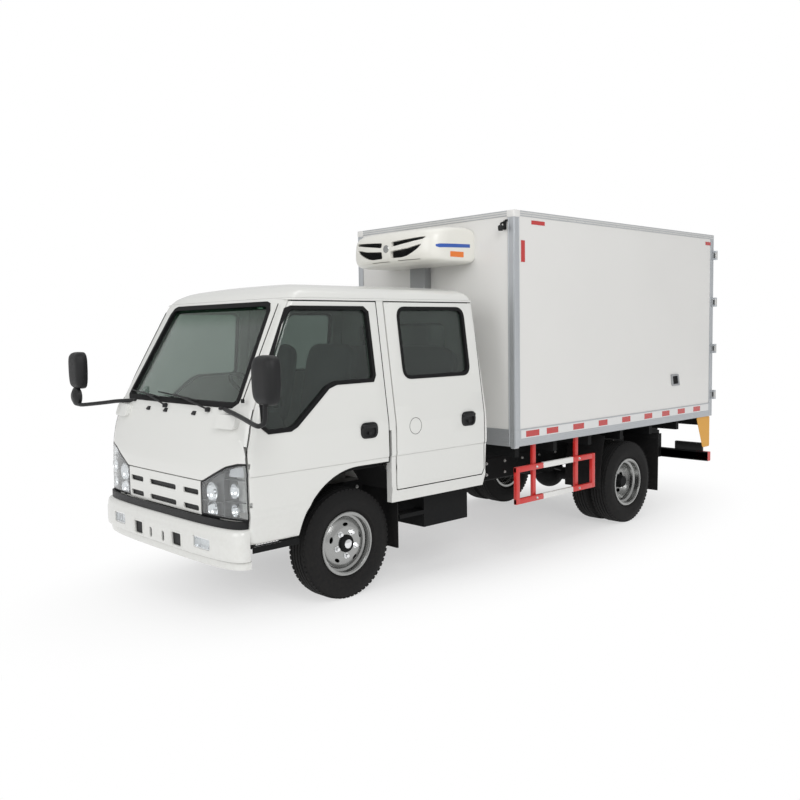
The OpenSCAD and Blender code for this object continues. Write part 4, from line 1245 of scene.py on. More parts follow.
@dataclass
class Cab:
    """The cab's shell, roof, doors, glass and front panels."""

    def build(self) -> None:
        """Builds every piece of the shell."""
        self.shell()
        self.roof()
        for side in (LEFT, RIGHT):
            self.door(side, "front", FRONT_DOOR, FRONT_WINDOW)
            self.door(side, "rear", REAR_DOOR, REAR_WINDOW)
        self.screens()
        self.front_panel()
        self.grille()

    def shell(self) -> None:
        """The fixed sheet metal, with the floor and the inner walls behind it."""
        skin_layer = keep(FORM.layer(0.0, SKIN), cab_block((-1.5, -1, 0.634), (1.0, 1, DRIP_Z)))
        for side in (LEFT, RIGHT):
            for outline in (FRONT_DOOR, REAR_DOOR):
                opening = keep(sides_prism(offset(outline, DOOR_GAP), side, 0.6), FORM.side_zone(0.032, side))
                skin_layer = carve(skin_layer, opening)
        for tool in (ahead_prism(WINDSCREEN), ahead_prism(BACK_WINDOW, *BACK_WALL),
                cab_block((NOSE_X, -1, 0), (1.2, 1, 1.345)), cab_block((-0.332, -1, 0), (0.87, 1, 1.15)),
                self.crease(), cab_block((-0.386, -1.1, 0.72), (-0.3725, 1.1, 2.044))):
            skin_layer = carve(skin_layer, tool)
        inner = keep(cad_shape("cab_body"), FORM.solid(LINING_DEPTH))
        # Room in the lugs for the rear door's edge as it swings round its pins.
        for z in HINGE_HEIGHTS["rear"]:
            swing = prism([(AXLE_X + x, y) for x, y in ((-0.4185, 0.9148), (-0.4062, 0.881), (-0.402, 0.881),
                (-0.402, 0.935), (-0.4185, 0.935))], z - 0.02, z + 0.02, "z")
            inner = carve(carve(inner, swing), swing.mirrored())
        drip = carve(keep(FORM.solid(-0.007), cab_block((-1.33, -1, 2.0555), (0.43, 1, 2.0665))), FORM.solid(0.01))
        put("cab_shell", skin_layer + inner + bevelled(drip, 0.002, 2, 50), CAB_WHITE, "body_white",
            stands_for=["cab_body"])
        put("cab_back_seal", seal(BACK_WINDOW, lambda o: ahead_prism(o, *BACK_WALL)), SEAL_BLACK, "trim_black")

    def crease(self) -> Shape:
        """The pressed line under the doors' waist, as a shape to cut away.

        Returns:
            A thin band just inside the skin.
        """
        return keep(FORM.layer(-0.01, 0.004), cab_block((-1.5, -1.1, 0.9595), (0.9, 1.1, 0.9645)))

    def roof(self) -> None:
        """The crowned roof."""
        made = keep(FORM.layer(0.0, 0.045), cab_block((-1.5, -1, DRIP_Z + 0.001), (1.0, 1, 2.3)))
        put("cab_roof_panel", made, CAB_WHITE, "body_white", stands_for=["cab_roof"])

    def door(self, side: int, where: str, outline: list[Pair], window: list[Pair]) -> None:
        """One cab door with its glass, seals, handle and the painted shade in its gaps.

        Args:
            side: LEFT or RIGHT.
            where: "front" or "rear".
            outline: the door from the side.
            window: its window from the side.
        """
        name = SIDE_NAME[side]
        body = f"{name}_{where}_door"
        leaf = keep(FORM.layer(0.0, SKIN), keep(sides_prism(outline, side), FORM.side_zone(0.024, side)))
        leaf = carve(leaf, sides_prism(window, side))
        hinge, grip_x = HINGE_X[where], HANDLE_X[where]
        for z in HINGE_HEIGHTS[where]:
            leaf = carve(leaf, cab_block((hinge - 0.012, 0.8, z - 0.016),
                (hinge + 0.031, 0.9155, z + 0.016)).on(side))
        leaf = carve(leaf, self.crease())
        dish = prism(sideways(rectangle((grip_x - 0.16, 1.112), (grip_x - 0.003, 1.222), 0.048)),
            FORM.half_at(HANDLE_HEIGHT) - 0.0125, 1.0, "y")
        leaf = bevelled(carve(leaf, dish.on(side)), 0.0025, 2, 60)
        inner = keep(cad_shape(body), FORM.solid(LINING_DEPTH))
        put(f"{body}_leaf", leaf + inner, CAB_WHITE, "body_white", body, [body])
        glass = keep(FORM.layer(*GLASS_DEPTHS), keep(sides_prism(window, side), FORM.side_zone(0.05, side)))
        put(f"{body}_glass", glass, SIDE_GLASS, "tinted_glass", body, [f"{name}_{where}_window"])
        rubber = keep(seal(window, lambda o: sides_prism(o, side), 0.016, 0.01), FORM.side_zone(0.034, side))
        put(f"{body}_seal", rubber, SEAL_BLACK, "trim_black", body)
        self.handle(side, body, grip_x)
        self.gap_seal(side, where, outline, hinge)
        if where == "rear" and side == LEFT:
            # A thin black ring laid on the skin round the flap, whose gap isn't cut: painted shade of that gap.
            flap = carve(prism(sideways(arc(FLAP_CENTRE, 0.0605, 0, 352, 44)), 0.6, 1.0, "y"),
                prism(sideways(arc(FLAP_CENTRE, 0.0575, 0, 352, 44)), 0.5, 1.1, "y"))
            put("body_flap_line", keep(FORM.layer(-0.0006, 0.002), flap), SEAL_BLACK, "trim_black", body)

    def gap_seal(self, side: int, where: str, outline: list[Pair], hinge: float) -> None:
        """Black rubber round a door's opening, behind its gap, except along its hinges: a real seal that also darkens
        the gap as painted shade, and a black lining on the gap's walls that is painted shade.

        Args:
            side: LEFT or RIGHT.
            where: "front" or "rear".
            outline: the door from the side.
            hinge: the hinges, from the front axle.
        """
        reach = cab_block((-1.6, -1.1, 0.5), (hinge - 0.04, 1.1, 2.2))
        # A black lining on the walls of the gap round the opening: painted shade.
        edge = carve(sides_prism(offset(outline, DOOR_GAP + 0.001), side),
            sides_prism(offset(outline, DOOR_GAP - 0.002), side, 0.4, 1.2))
        # Black rubber behind the gap: a real seal, also there to darken the gap as painted shade.
        behind = carve(sides_prism(offset(outline, DOOR_GAP + 0.002), side), sides_prism(offset(outline, -0.011),
            side, 0.4, 1.2))
        made = keep(keep(edge, reach), FORM.layer(0.0012, 0.0175)) + keep(keep(behind, reach),
            FORM.layer(0.0175, 0.022))
        put(f"{SIDE_NAME[side]}_{where}_door_rubber", keep(made, FORM.side_zone(0.05, side)), SEAL_BLACK,
            "trim_black")

    def handle(self, side: int, body: str, x: float) -> None:
        """A door handle in its dished plate.

        Args:
            side: LEFT or RIGHT.
            body: the door it is on.
            x: its front end, from the front axle.
        """
        y = FORM.half_at(HANDLE_HEIGHT)
        plate = prism(sideways(rectangle((x - 0.16, 1.112), (x - 0.003, 1.222), 0.048)), y - 0.012, y + 0.0035, "y")
        dish = prism(sideways(rectangle((x - 0.14, 1.124), (x - 0.023, 1.19), 0.03)), y - 0.008, y + 0.01, "y")
        ring = arc((0, 0), 1.0, 0, 330, 11)
        grip = skin([np.array([(AXLE_X + (x + dx), y + dy + a * 0.007, 1.196 + b * 0.012) for a, b in ring])
            for dx, dy in ((-0.15, 0.002), (-0.142, 0.012), (-0.1, 0.017), (-0.05, 0.017), (-0.022, 0.012),
            (-0.014, 0.002))])
        lock = turned([(0.0, 0.0), (0.011, 0.0), (0.011, 0.005), (0.008, 0.007), (0.0, 0.007)],
            (AXLE_X + x - 0.085, y, 1.147), sides=24)
        made = bevelled(carve(plate, dish), 0.0015, 2, 50) + grip + lock
        put(f"{body}_handle", made.on(side), TRIM_BLACK, "trim_black", body)

    def screens(self) -> None:
        """Windscreen and back window, with the windscreen's seal."""
        front = keep(FORM.layer(*GLASS_DEPTHS), ahead_prism(WINDSCREEN))
        put("windscreen", front, SCREEN_GLASS, "tinted_glass", stands_for=["cab_glass"])
        back = keep(FORM.layer(*GLASS_DEPTHS), ahead_prism(BACK_WINDOW, *BACK_WALL))
        put("cab_back_window", back, SIDE_GLASS, "tinted_glass")
        put("windscreen_seal", seal(WINDSCREEN, ahead_prism, 0.022, 0.01, 0.004), SEAL_BLACK, "trim_black")

    def front_panel(self) -> None:
        """The front panel under the windscreen, with its vent covers and washer jets, and a thin black line of
        painted shade along the seam at each side.
        """
        made = keep(FORM.layer(0.0, 0.05), cab_block((NOSE_X, -1, 0.912), (1.2, 1, 1.345)))
        for side in (LEFT, RIGHT):
            made = carve(made, ahead_prism(LAMP, LAMP_REACH).on(side))
        made = bevelled(made, 0.003, 2, 60)
        pods = []
        for side in (LEFT, RIGHT):
            pod = ahead_prism(rectangle((0.6, 1.252), (0.8, 1.338), 0.024), 0.7)
            pods.append(bevelled(keep(FORM.layer(-0.03, 0.01), pod), 0.01, 3, 50).on(side))
        # A thin black tube laid half into the skin along each seam between the front panel and the side: painted
        # shade of the seam's gap.
        line = [(AXLE_X + x, FORM.side_at(x, z), z) for z in np.linspace(0.66, 1.372, 30)
            for x in [min(NOSE_X + 0.002, FORM.front_at(FORM.half_at(z) - 0.031, z) - AXLE_X)]]
        put("nose_seam", tube(line, 0.003, 8).both(), SEAL_BLACK, "trim_black")
        put("front_panel_skin", made + total(pods), CAB_WHITE, "body_white", stands_for=["front_panel"])
        jets = []
        for y in (0.298, -0.078, -0.325):
            x = FORM.front_at(y, 1.325)
            jets.append(bevelled(prism([(x - 0.03, 1.312), (x + 0.01, 1.312), (x + 0.014, 1.322), (x - 0.002, 1.338),
                (x - 0.03, 1.346)], y - 0.022, y + 0.022, "y"), 0.004, 2))
        put("washer_jets", total(jets), TRIM_BLACK, "trim_black")

    def grille(self) -> None:
        """The slotted grille and the dark backing behind it."""
        made = keep(FORM.layer(0.0, 0.012), cab_block((0.7, -0.488, 0.69), (1.2, 0.488, 0.905)))
        for z in (0.708, 0.812):
            made = carve(made, ahead_prism(rectangle((-0.18, z), (0.18, z + 0.036), 0.014), 0.7))
            for side in (LEFT, RIGHT):
                made = carve(made, ahead_prism(rectangle((0.276, z), (0.464, z + 0.036), 0.014), 0.7).on(side))
        put("grille_bars", bevelled(made, 0.003, 2, 50), CAB_WHITE, "body_white", stands_for=["grille"])
        mesh = keep(FORM.layer(0.015, 0.022), cab_block((0.7, -0.486, 0.7), (1.2, 0.486, 0.9)))
        put("grille_backing", mesh, TRIM_BLACK, "trim_black")


# ---------------------------------------------------------------- front end


@dataclass
class FrontEnd:
    """Bumper, lamps, mirrors, wipers and aerial."""

    reach: float = 1.002
    half: float = 0.918
    long: float = 0.144
    power: float = 3.4
    mirror_middle: Pair = (1.27, 1.575)
    mirror_half: Pair = (0.108, 0.143)

    def build(self) -> None:
        """Builds every piece of the front end."""
        self.bumper()
        self.fog_lamps()
        self.headlamps()
        for side in (LEFT, RIGHT):
            self.mirror(side)
        self.wipers()

    def level(self, z: float, inset: float) -> np.ndarray:
        """The bumper's outline from above at one height.

        Args:
            z: the height.
            inset: how far its face is moved in.

        Returns:
            The outline's points.
        """
        angle = np.linspace(-math.pi / 2, math.pi / 2, 61)
        x = self.reach - inset - self.long + self.long * swell(np.cos(angle), self.power)
        y = (self.half - inset) * swell(np.sin(angle), self.power)
        return np.column_stack([x + AXLE_X, y, np.full(len(x), z)])

    def solid(self, inset: float, low: float = 0.384, high: float = 0.64) -> Shape:
        """The bumper's form with its face moved in, reaching further down and up where asked.

        Args:
            inset: how far its face is moved in.
            low: where it starts above the ground.
            high: where it ends.

        Returns:
            The closed form.
        """
        marks = ((0.384, 0.032), (0.392, 0.023), (0.434, 0.018), (0.4375, 0.024), (0.4405, 0.024), (0.443, 0.004),
            (0.452, 0.001), (0.47, 0.0), (0.568, 0.0), (0.578, 0.0035), (0.6, 0.005), (0.622, 0.009), (0.634, 0.016),
            (0.64, 0.026))
        rings = [self.level(z, d + inset) for z, d in marks]
        if low < 0.384:
            rings = [self.level(low, marks[0][1] + inset)] + rings + [self.level(high, marks[-1][1] + inset)]
        return skin(rings)

    def bumper(self) -> None:
        """The wrap-round bumper with its openings."""
        made = carve(self.solid(0.0), self.solid(0.01, 0.3, 0.7).moved((-0.004, 0, 0)))
        holes = [ahead_prism(rectangle((y - wide, 0.462), (y + wide, top), corner), 0.8)
            for y, wide, top, corner in ((-0.262, 0.058, 0.546, 0.012), (0.262, 0.058, 0.546, 0.012),
            (-0.085, 0.017, 0.53, 0.016), (0.085, 0.017, 0.53, 0.016))]
        made = carve(made, total(holes))
        fog = ahead_prism(rounded([(0.472, 0.49), (0.655, 0.486), (0.655, 0.56), (0.472, 0.566)], 0.014), 0.8)
        made = carve(carve(made, fog), fog.mirrored())
        pads = []
        for y in (-0.262, 0.262):
            ring = carve(ahead_prism(rectangle((y - 0.076, 0.45), (y + 0.076, 0.558), 0.018), 0.9),
                ahead_prism(rectangle((y - 0.064, 0.457), (y + 0.064, 0.551), 0.014), 0.8))
            pads.append(keep(carve(self.solid(-0.003), self.solid(0.008)), ring))
        put("bumper_skin", bevelled(made, 0.0022, 2, 55) + total(pads), CAB_WHITE, "body_white",
            stands_for=["front_bumper"])
        grid = keep(carve(self.solid(0.0155), self.solid(0.022)), cab_block((0.85, -0.35, 0.45), (1.2, 0.35, 0.556)))
        strip = skin([self.level(z, 0.03) for z in (0.632, 0.689)])
        strip = carve(strip, skin([self.level(z, 0.045) for z in (0.6, 0.72)]).moved((-0.001, 0, 0)))
        put("bumper_backing", grid + bevelled(strip, 0.002, 1, 50), TRIM_BLACK, "trim_black")

    def fog_lamps(self) -> None:
        """Fog lamps set into the bumper."""
        outline = rounded([(0.474, 0.491), (0.653, 0.487), (0.653, 0.559), (0.474, 0.565)], 0.014)
        inner = offset(outline, -0.006)
        lens = keep(carve(self.solid(0.008), self.solid(0.012)), ahead_prism(inner, 0.8))
        bowl = keep(carve(self.solid(0.032), self.solid(0.037)), ahead_prism(inner, 0.8))
        rim = keep(carve(self.solid(0.006), self.solid(0.037)),
            carve(ahead_prism(outline, 0.8), ahead_prism(inner, 0.7)))
        x = AXLE_X + 0.952
        bulb = turned([(0.004, -0.012), (0.03, 0.002), (0.033, 0.006), (0.03, 0.006), (0.006, -0.006)],
            (x, 0.585, 0.525), "x", 32)
        put("fog_lamp_bowls", (bowl + rim + bulb).both(), CHROME, "lamp_clear", stands_for=["fog_lamps"])
        put("fog_lamp_lenses", lens.both(), CLEAR_LENS, "lamp_clear")

    def headlamps(self) -> None:
        """Clear headlamps with two reflectors, a divider, side lamp and turn lamp."""
        region = ahead_prism(offset(LAMP, -0.003), LAMP_REACH)
        inner = ahead_prism(offset(LAMP, -0.014), LAMP_REACH)
        zone = cab_block((NOSE_X + 0.002, 0, 0.5), (1.3, 1, 1.3))
        lens = keep(keep(FORM.layer(0.002, 0.006), inner), zone)
        rim = keep(keep(FORM.layer(0.002, 0.045), carve(region, inner)), zone)
        back = keep(keep(FORM.layer(0.04, 0.046), region), zone)
        put("headlamp_rims", rim.both(), TRIM_BLACK, "lamp_clear")
        parts = [back]
        wall = keep(FORM.layer(0.01, 0.042),
            total([cab_block((0.6, 0.722, 0.7), (1.2, 0.729, 0.99)),
            cab_block((0.6, 0.735, 0.94), (1.2, 0.915, 0.946)), cab_block((0.6, 0.735, 0.8), (1.2, 0.915, 0.806)),
            cab_block((0.6, 0.5, 0.786), (1.2, 0.715, 0.792))]))
        parts.append(keep(wall, zone))
        bright = []
        for y, z, r in ((0.6, 0.846, 0.06), (0.602, 0.738, 0.055), (0.815, 0.873, 0.044), (0.815, 0.752, 0.036)):
            x = FORM.front_at(y, z) - 0.032
            bright.append(turned([(0.006, -0.012), (r * 0.6, -0.006), (r * 0.9, 0.006), (r, 0.018),
                (r + 0.003, 0.018), (r * 0.95, 0.0), (r * 0.6, -0.01), (0.006, -0.016)], (x, y, z), "x", 40))
            bright.append(turned([(0.0, -0.012), (0.008, -0.01), (0.009, 0.006), (0.005, 0.012), (0.0, 0.013)],
                (x, y, z), "x", 20))
        put("headlamp_reflectors", total(bright).both(), CHROME, "lamp_clear")
        put("headlamp_bowls", total(parts).both(), LAMP_BOWL, "lamp_clear", stands_for=["headlamps"])
        put("headlamp_lenses", lens.both(), CLEAR_LENS, "lamp_clear")
        turn = keep(keep(FORM.layer(0.016, 0.03),
            ahead_prism(rounded([(0.76, 0.96), (0.905, 0.962), (0.912, 1.028), (0.83, 1.022), (0.77, 1.004)], 0.012),
            0.7)), zone)
        put("turn_lamps", bevelled(turn, 0.002, 2, 50).both(), LAMP_WHITE, "lamp_clear")

    def mirror(self, side: int) -> None:
        """One outside mirror: its arm, head and glass.

        Args:
            side: LEFT or RIGHT.
        """
        name = SIDE_NAME[side]
        arm = tube([(AXLE_X + x, y, z) for x, y, z in ((0.8, 0.56, 1.37), (0.838, 0.68, 1.36), (0.872, 0.8, 1.352),
            (0.905, 0.95, 1.335), (0.968, 1.18, 1.312), (0.966, 1.235, 1.318), (0.961, 1.262, 1.345),
            (0.96, 1.27, 1.44))], 0.0145, 16)
        foot = turned([(0.0, -0.006), (0.03, -0.006), (0.03, 0.004), (0.022, 0.012), (0.0, 0.012)],
            (AXLE_X + 0.812, 0.585, 1.368), "z", 28)
        (cy, cz), (hy, hz) = self.mirror_middle, self.mirror_half
        rings = []
        for x, k in ((-0.04, 0.955), (-0.036, 0.99), (-0.02, 1.0), (0.0, 0.985), (0.018, 0.93), (0.031, 0.82),
                (0.038, 0.64), (0.04, 0.4)):
            t = np.linspace(0, 2 * math.pi, 56, endpoint=False)
            y = hy * k * swell(np.cos(t), 4.2)
            z = (hz - 0.128 * (1 - k) * 0.9) * swell(np.sin(t), 4.2)
            y *= 1.0 - 0.1 * np.clip(-z / hz, 0, 1)
            rings.append(np.column_stack([np.full(56, AXLE_X + 0.96 + x), cy + y, cz + z]))
        head = skin(rings)
        pocket = prism(rectangle((cy - 0.092, cz - 0.122), (cy + 0.093, cz + 0.124), 0.035), AXLE_X + 0.9,
            AXLE_X + 0.926, "x")
        case = carve(head, pocket)
        parts = arm + foot + case
        glass = prism(rectangle((cy - 0.089, cz - 0.119), (cy + 0.09, cz + 0.121), 0.035), AXLE_X + 0.9225,
            AXLE_X + 0.9275, "x")
        if side == RIGHT:
            at = (AXLE_X + 0.97, 1.292, 1.372)
            parts = parts + turned([(0.0, -0.022), (0.07, -0.022), (0.078, -0.014), (0.07, 0.006), (0.044, 0.022),
                (0.0, 0.028)], at, "x", 48)
            parts = parts + tube([(AXLE_X + 0.962, 1.268, 1.4), (AXLE_X + 0.968, 1.278, 1.385),
                (AXLE_X + 0.97, 1.285, 1.375)], 0.009, 12)
            glass = glass + turned([(0.0, -0.033), (0.034, -0.03), (0.064, -0.024), (0.064, -0.018), (0.0, -0.018)],
                at, "x", 48)
        stands = ["mirrors"] if side == LEFT else []
        put(f"{name}_mirror_body", parts.on(side), TRIM_BLACK, "trim_black", stands_for=stands)
        put(f"{name}_mirror_glass", bevelled(glass, 0.0008, 1, 50).on(side), MIRROR_GLASS, "trim_black")

    def on_screen(self, y: float, z: float, lift: float) -> np.ndarray:
        """A point standing off the windscreen, in the truck's frame."""
        x = FORM.front_at(y, z)
        return np.array([x + lift * 0.87, y, z + lift * 0.49])

    def wipers(self) -> None:
        """Two wipers low on the windscreen, and the aerial along the left pillar."""
        parts = []
        for y0, z0, y1, z1, arm in ((-0.69, 1.432, -0.2, 1.403, (-0.09, 1.352)),
                (-0.265, 1.436, 0.3, 1.402, (0.46, 1.352))):
            line = [self.on_screen(y0 + (y1 - y0) * t, z0 + (z1 - z0) * t, 0.01) for t in np.linspace(0, 1, 7)]
            parts.append(tube(line, 0.0045, 8))
            line = [p + np.array([0.008, 0, 0.005]) for p in line[1:-1]]
            parts.append(tube(line, 0.0035, 8))
            pivot = self.on_screen(arm[0], arm[1], 0.012)
            mid = (line[2] + pivot) / 2 + np.array([0.018, 0, 0.012])
            parts.append(tube([pivot, mid, line[2] + np.array([0.006, 0, 0.004])], 0.006, 10))
            parts.append(turned([(0.0, -0.014), (0.018, -0.014), (0.018, 0.008), (0.012, 0.014), (0.0, 0.014)],
                tuple(pivot), "z", 24))
        put("wipers", total(parts), TRIM_BLACK, "trim_black")
        rod = [(AXLE_X + x, y, z) for x, y, z in ((0.805, 0.8, 1.425), (0.66, 0.772, 1.69), (0.468, 0.73, 2.03))]
        clip = turned([(0.0, -0.012), (0.012, -0.012), (0.012, 0.012), (0.0, 0.012)], rod[0], "z", 16)
        put("aerial", tube(rod, 0.0032, 8) + clip, TRIM_BLACK, "trim_black")


# ---------------------------------------------------------------- inside the cab


@dataclass
class Interior:
    """Seats, dashboard and steering wheel."""

    def build(self) -> None:
        """Builds the cab's inside."""
        dress("dashboard", CABIN_GREY)
        dress("steering_wheel", TRIM_BLACK)
        frames = []
        for name, front, depth, base, low, high, top in (("driver", 0.33, 0.48, 0.995, 0.13, 0.64, 1.76),
                ("mate", 0.33, 0.48, 0.995, -0.64, -0.09, 1.76), ("bench", -0.755, 0.4, 1.09, -0.7, 0.7, 1.72)):
            frames.append(self.seat(name, front, depth, base, low, high, top))
        frames.append(cab_block((-1.155, -0.7, 0.79), (-0.775, 0.7, 1.088), 0.01))
        put("seat_frames", total(frames), CABIN_GREY, "cabin_grey", stands_for=["seats"])

    def pillow(self, size: Triple, crown: float) -> Shape:
        """A stuffed form with a crowned face, rounded edges and a sewn seam.

        Args:
            size: its length, width and thickness.
            crown: how far its face swells.

        Returns:
            The form, its face upward and its underside at zero.
        """
        a, b, thick = size[0] / 2, size[1] / 2, size[2]
        t = np.linspace(0, 2 * math.pi, 96, endpoint=False)
        ring = np.stack([swell(np.cos(t), 6), swell(np.sin(t), 6)], 1)
        rings = []
        for z, k in ((0.0, -0.016), (0.006, -0.006), (0.02, 0.0), (0.55, 0.006), (0.7, 0.004), (0.74, -0.004),
                (0.78, 0.003), (0.88, -0.006), (0.95, -0.022), (1.0, -0.05)):
            rings.append(np.column_stack([ring[:, 0] * (a + k), ring[:, 1] * (b + k),
                np.full(96, z * (thick - crown) if z > 0.02 else z)]))
        for s in (0.82, 0.6, 0.4, 0.2, 0.05):
            rise = (thick - crown) + crown * (1 - s ** 2) + 0.004 * math.cos(s * 22)
            rings.append(np.column_stack([ring[:, 0] * (a - 0.05) * s, ring[:, 1] * (b - 0.05) * s,
                np.full(96, rise)]))
        return skin(rings)

    def seat(self, name: str, front: float, depth: float, base: float, low: float, high: float, top: float) -> Shape:
        """One seat's cushion and back, and the frame under them.

        Args:
            name: which seat.
            front: front of its cushion, from the front axle.
            depth: length of the cushion.
            base: underside above the ground.
            low: lower limit in y.
            high: upper limit in y.
            top: top of the back above the ground.

        Returns:
            The frame.
        """
        width, mid = high - low, (low + high) / 2
        cushion = self.pillow((depth - 0.08, width, 0.15), 0.022)
        cushion = cushion.placed(Matrix.Translation((AXLE_X + front - depth / 2 + 0.045, mid,
            base + 0.02)) @ Matrix.Rotation(math.radians(-3), 4, "Y"))
        put(f"{name}_seat_cushion", cushion, SEAT_CLOTH, "seat_fabric")
        tall = top - base - 0.15
        back = self.pillow((tall, width, 0.12), 0.02)
        lean = math.radians(90 - 12)
        foot = Vector((AXLE_X + front - depth + 0.055, mid, base + 0.145))
        turn = Matrix.Rotation(lean, 4, "Y") @ Matrix.Rotation(math.pi, 4, "Z")
        made = back.placed(turn)
        shift = Vector((foot.x - float(made.verts[:, 0].max()), foot.y, foot.z - float(made.verts[:, 2].min())))
        put(f"{name}_seat_back", made.moved(shift), SEAT_CLOTH, "seat_fabric")
        plinth = cab_block((front - depth + 0.02, low + 0.03, base), (front - 0.03, high - 0.03, base + 0.024), 0.006)
        return plinth


# ---------------------------------------------------------------- wheels


@dataclass
class Wheels:
    """Rims, discs, nuts, hub caps and tyres."""

    radius: float = 0.384
    flange: float = 0.221
    well: float = 0.182
    half_rim: float = 0.078
    half_tyre: float = 0.1
    front_y: float = 0.735
    outer_y: float = 0.836
    inner_y: float = 0.622
    hub_y: float = 0.729
    lip: Sequence[Pair] = ((0.217, 0.0745), (0.2195, 0.079), (0.2195, 0.083), (0.214, 0.0845), (0.206, 0.083),
        (0.2075, 0.076))
    nuts: int = 5
    holes: int = 5

    def build(self) -> None:
        """Builds all wheels for both sides."""
        for side in (LEFT, RIGHT):
            name = SIDE_NAME[side]
            self.front(side, f"front_{name}_wheel", f"front_{name}_tyre")
            self.rear(side, f"rear_{name}_wheels", f"rear_{name}_tyres")

    def rim(self, y: float, x: float) -> Shape:
        """The rim barrel.

        Args:
            y: middle of the rim.
            x: the axle.

        Returns:
            The barrel.
        """
        f, w, h = self.flange, self.well, self.half_rim
        seat = w + 0.022
        outer = [(f, -h), (f + 0.001, -h + 0.004), (f - 0.002, -h + 0.007), (seat + 0.002, -h + 0.011),
            (seat, -0.034), (w + 0.004, -0.026), (w, -0.02), (w, 0.02), (w + 0.004, 0.026), (seat, 0.034),
            (seat + 0.002, h - 0.011), (f - 0.002, h - 0.007), (f + 0.001, h - 0.004), (f, h), (f - 0.005, h + 0.001),
            (seat - 0.004, h - 0.002), (seat - 0.007, 0.036), (w - 0.004, 0.027), (w - 0.007, 0.02),
            (w - 0.007, -0.02), (w - 0.004, -0.027), (seat - 0.007, -0.036), (seat - 0.004, -h + 0.002),
            (f - 0.005, -h - 0.001)]
        return turned(outer, (x, y, WHEEL_Z), sides=112)

    def disc(self, y: float, x: float, edge: float, crown: float) -> Shape:
        """The dished disc with its oval hand holes.

        Args:
            y: middle of the rim.
            x: the axle.
            edge: where the disc meets the rim, outward from the rim's middle.
            crown: how far its flat middle stands out from there.

        Returns:
            The disc.
        """
        r, s = self.well - 0.006, 1.0 if crown > 0 else -1.0
        top = smooth_line([(r, edge), (r - 0.01, edge + crown * 0.26), (r - 0.03, edge + crown * 0.66),
            (r - 0.052, edge + crown * 0.93), (0.11, edge + crown), (0.096, edge + crown * 0.985)], 5)
        face = [(float(a), float(b)) for a, b in top] + [(0.06, edge + crown * 0.985)]
        profile = face + [(a, b - s * 0.008) for a, b in reversed(face)]
        made = turned(profile, (x, y, WHEEL_Z), sides=120)
        cuts = []
        for i in range(self.holes):
            oval = [(0.133 + 0.012 * math.cos(t), 0.023 * math.sin(t)) for t in np.linspace(0, 2 * math.pi, 25)[:-1]]
            turn = math.pi / 2 - 2 * math.pi * i / self.holes
            flat = [(x + a * math.cos(turn) - b * math.sin(turn), WHEEL_Z + a * math.sin(turn) + b * math.cos(turn))
                for a, b in oval]
            cuts.append(prism(flat, y - 0.15, y + 0.15, "y"))
        return carve(made, total(cuts))

    def studs(self, y: float, x: float, facing: float, radius: float = 0.086) -> Shape:
        """The wheel nuts, between the hand holes.

        Args:
            y: the face they stand on.
            x: the axle.
            facing: 1 outward, -1 inward.
            radius: their pitch circle.

        Returns:
            The nuts.
        """
        spots = []
        for i in range(self.nuts):
            a = math.pi / 2 - 2 * math.pi * (i + 0.5) / self.nuts
            spots.append(Spot((x + radius * math.cos(a), y, WHEEL_Z + radius * math.sin(a)), (0, facing, 0),
                (math.cos(a), 0, math.sin(a))))
        return repeated(Repeat.HEAD, spots, 0.03, 0.02)

    def tyre(self, y: float, x: float) -> Shape:
        """One tyre: sidewalls with moulded rings, ribs round the tread and shoulder blocks.

        Args:
            y: middle of the tyre.
            x: the axle.

        Returns:
            The tyre.
        """
        r, w, f, h = self.radius, self.half_tyre, self.flange, self.half_rim
        half = [(f - 0.0165, h - 0.012), (f - 0.002, h - 0.008), (f + 0.006, h - 0.006), (f + 0.012, h + 0.001),
            (f + 0.024, h + 0.013), (f + 0.028, h + 0.0125), (f + 0.045, w - 0.004), (f + 0.066, w), (f + 0.082, w),
            (f + 0.086, w), (f + 0.089, w - 0.001), (f + 0.11, w - 0.004), (r - 0.04, w - 0.01),
            (r - 0.026, w - 0.015), (r - 0.014, w - 0.022), (r - 0.008, w - 0.029), (r - 0.006, w - 0.034)]
        grooves = []
        for mid in (0.046, 0.016, -0.016, -0.046):
            grooves += [(r - 0.0004, mid + 0.006), (r - 0.01, mid + 0.003), (r - 0.01, mid - 0.003),
                (r - 0.0004, mid - 0.006)]
        profile = half + [(r - 0.003, w - 0.044)] + grooves + [(r - 0.003, -w + 0.044)]
        profile += [(a, -b) for a, b in reversed(half)]
        made = turned(profile, (x, y, WHEEL_Z), sides=144)
        spots = []
        for i in range(64):
            a = 2 * math.pi * i / 64
            for s, shift in ((1, 0.0), (-1, math.pi / 64)):
                d = Vector((math.cos(a + shift), 0, math.sin(a + shift)))
                spots.append(Spot((x + (r - 0.0085) * d.x, y + s * (w - 0.0365), WHEEL_Z + (r - 0.0085) * d.z),
                    (d.x, 0, d.z), (0, 1, 0)))
        return made + repeated(Repeat.BLOCK, spots, 0.03, 0.0085, 0.024)

    def hub(self, profile: Sequence[Pair], y: float, x: float, sides: int = 72) -> Shape:
        """A turned hub piece."""
        return turned(profile, (x, y, WHEEL_Z), sides=sides)

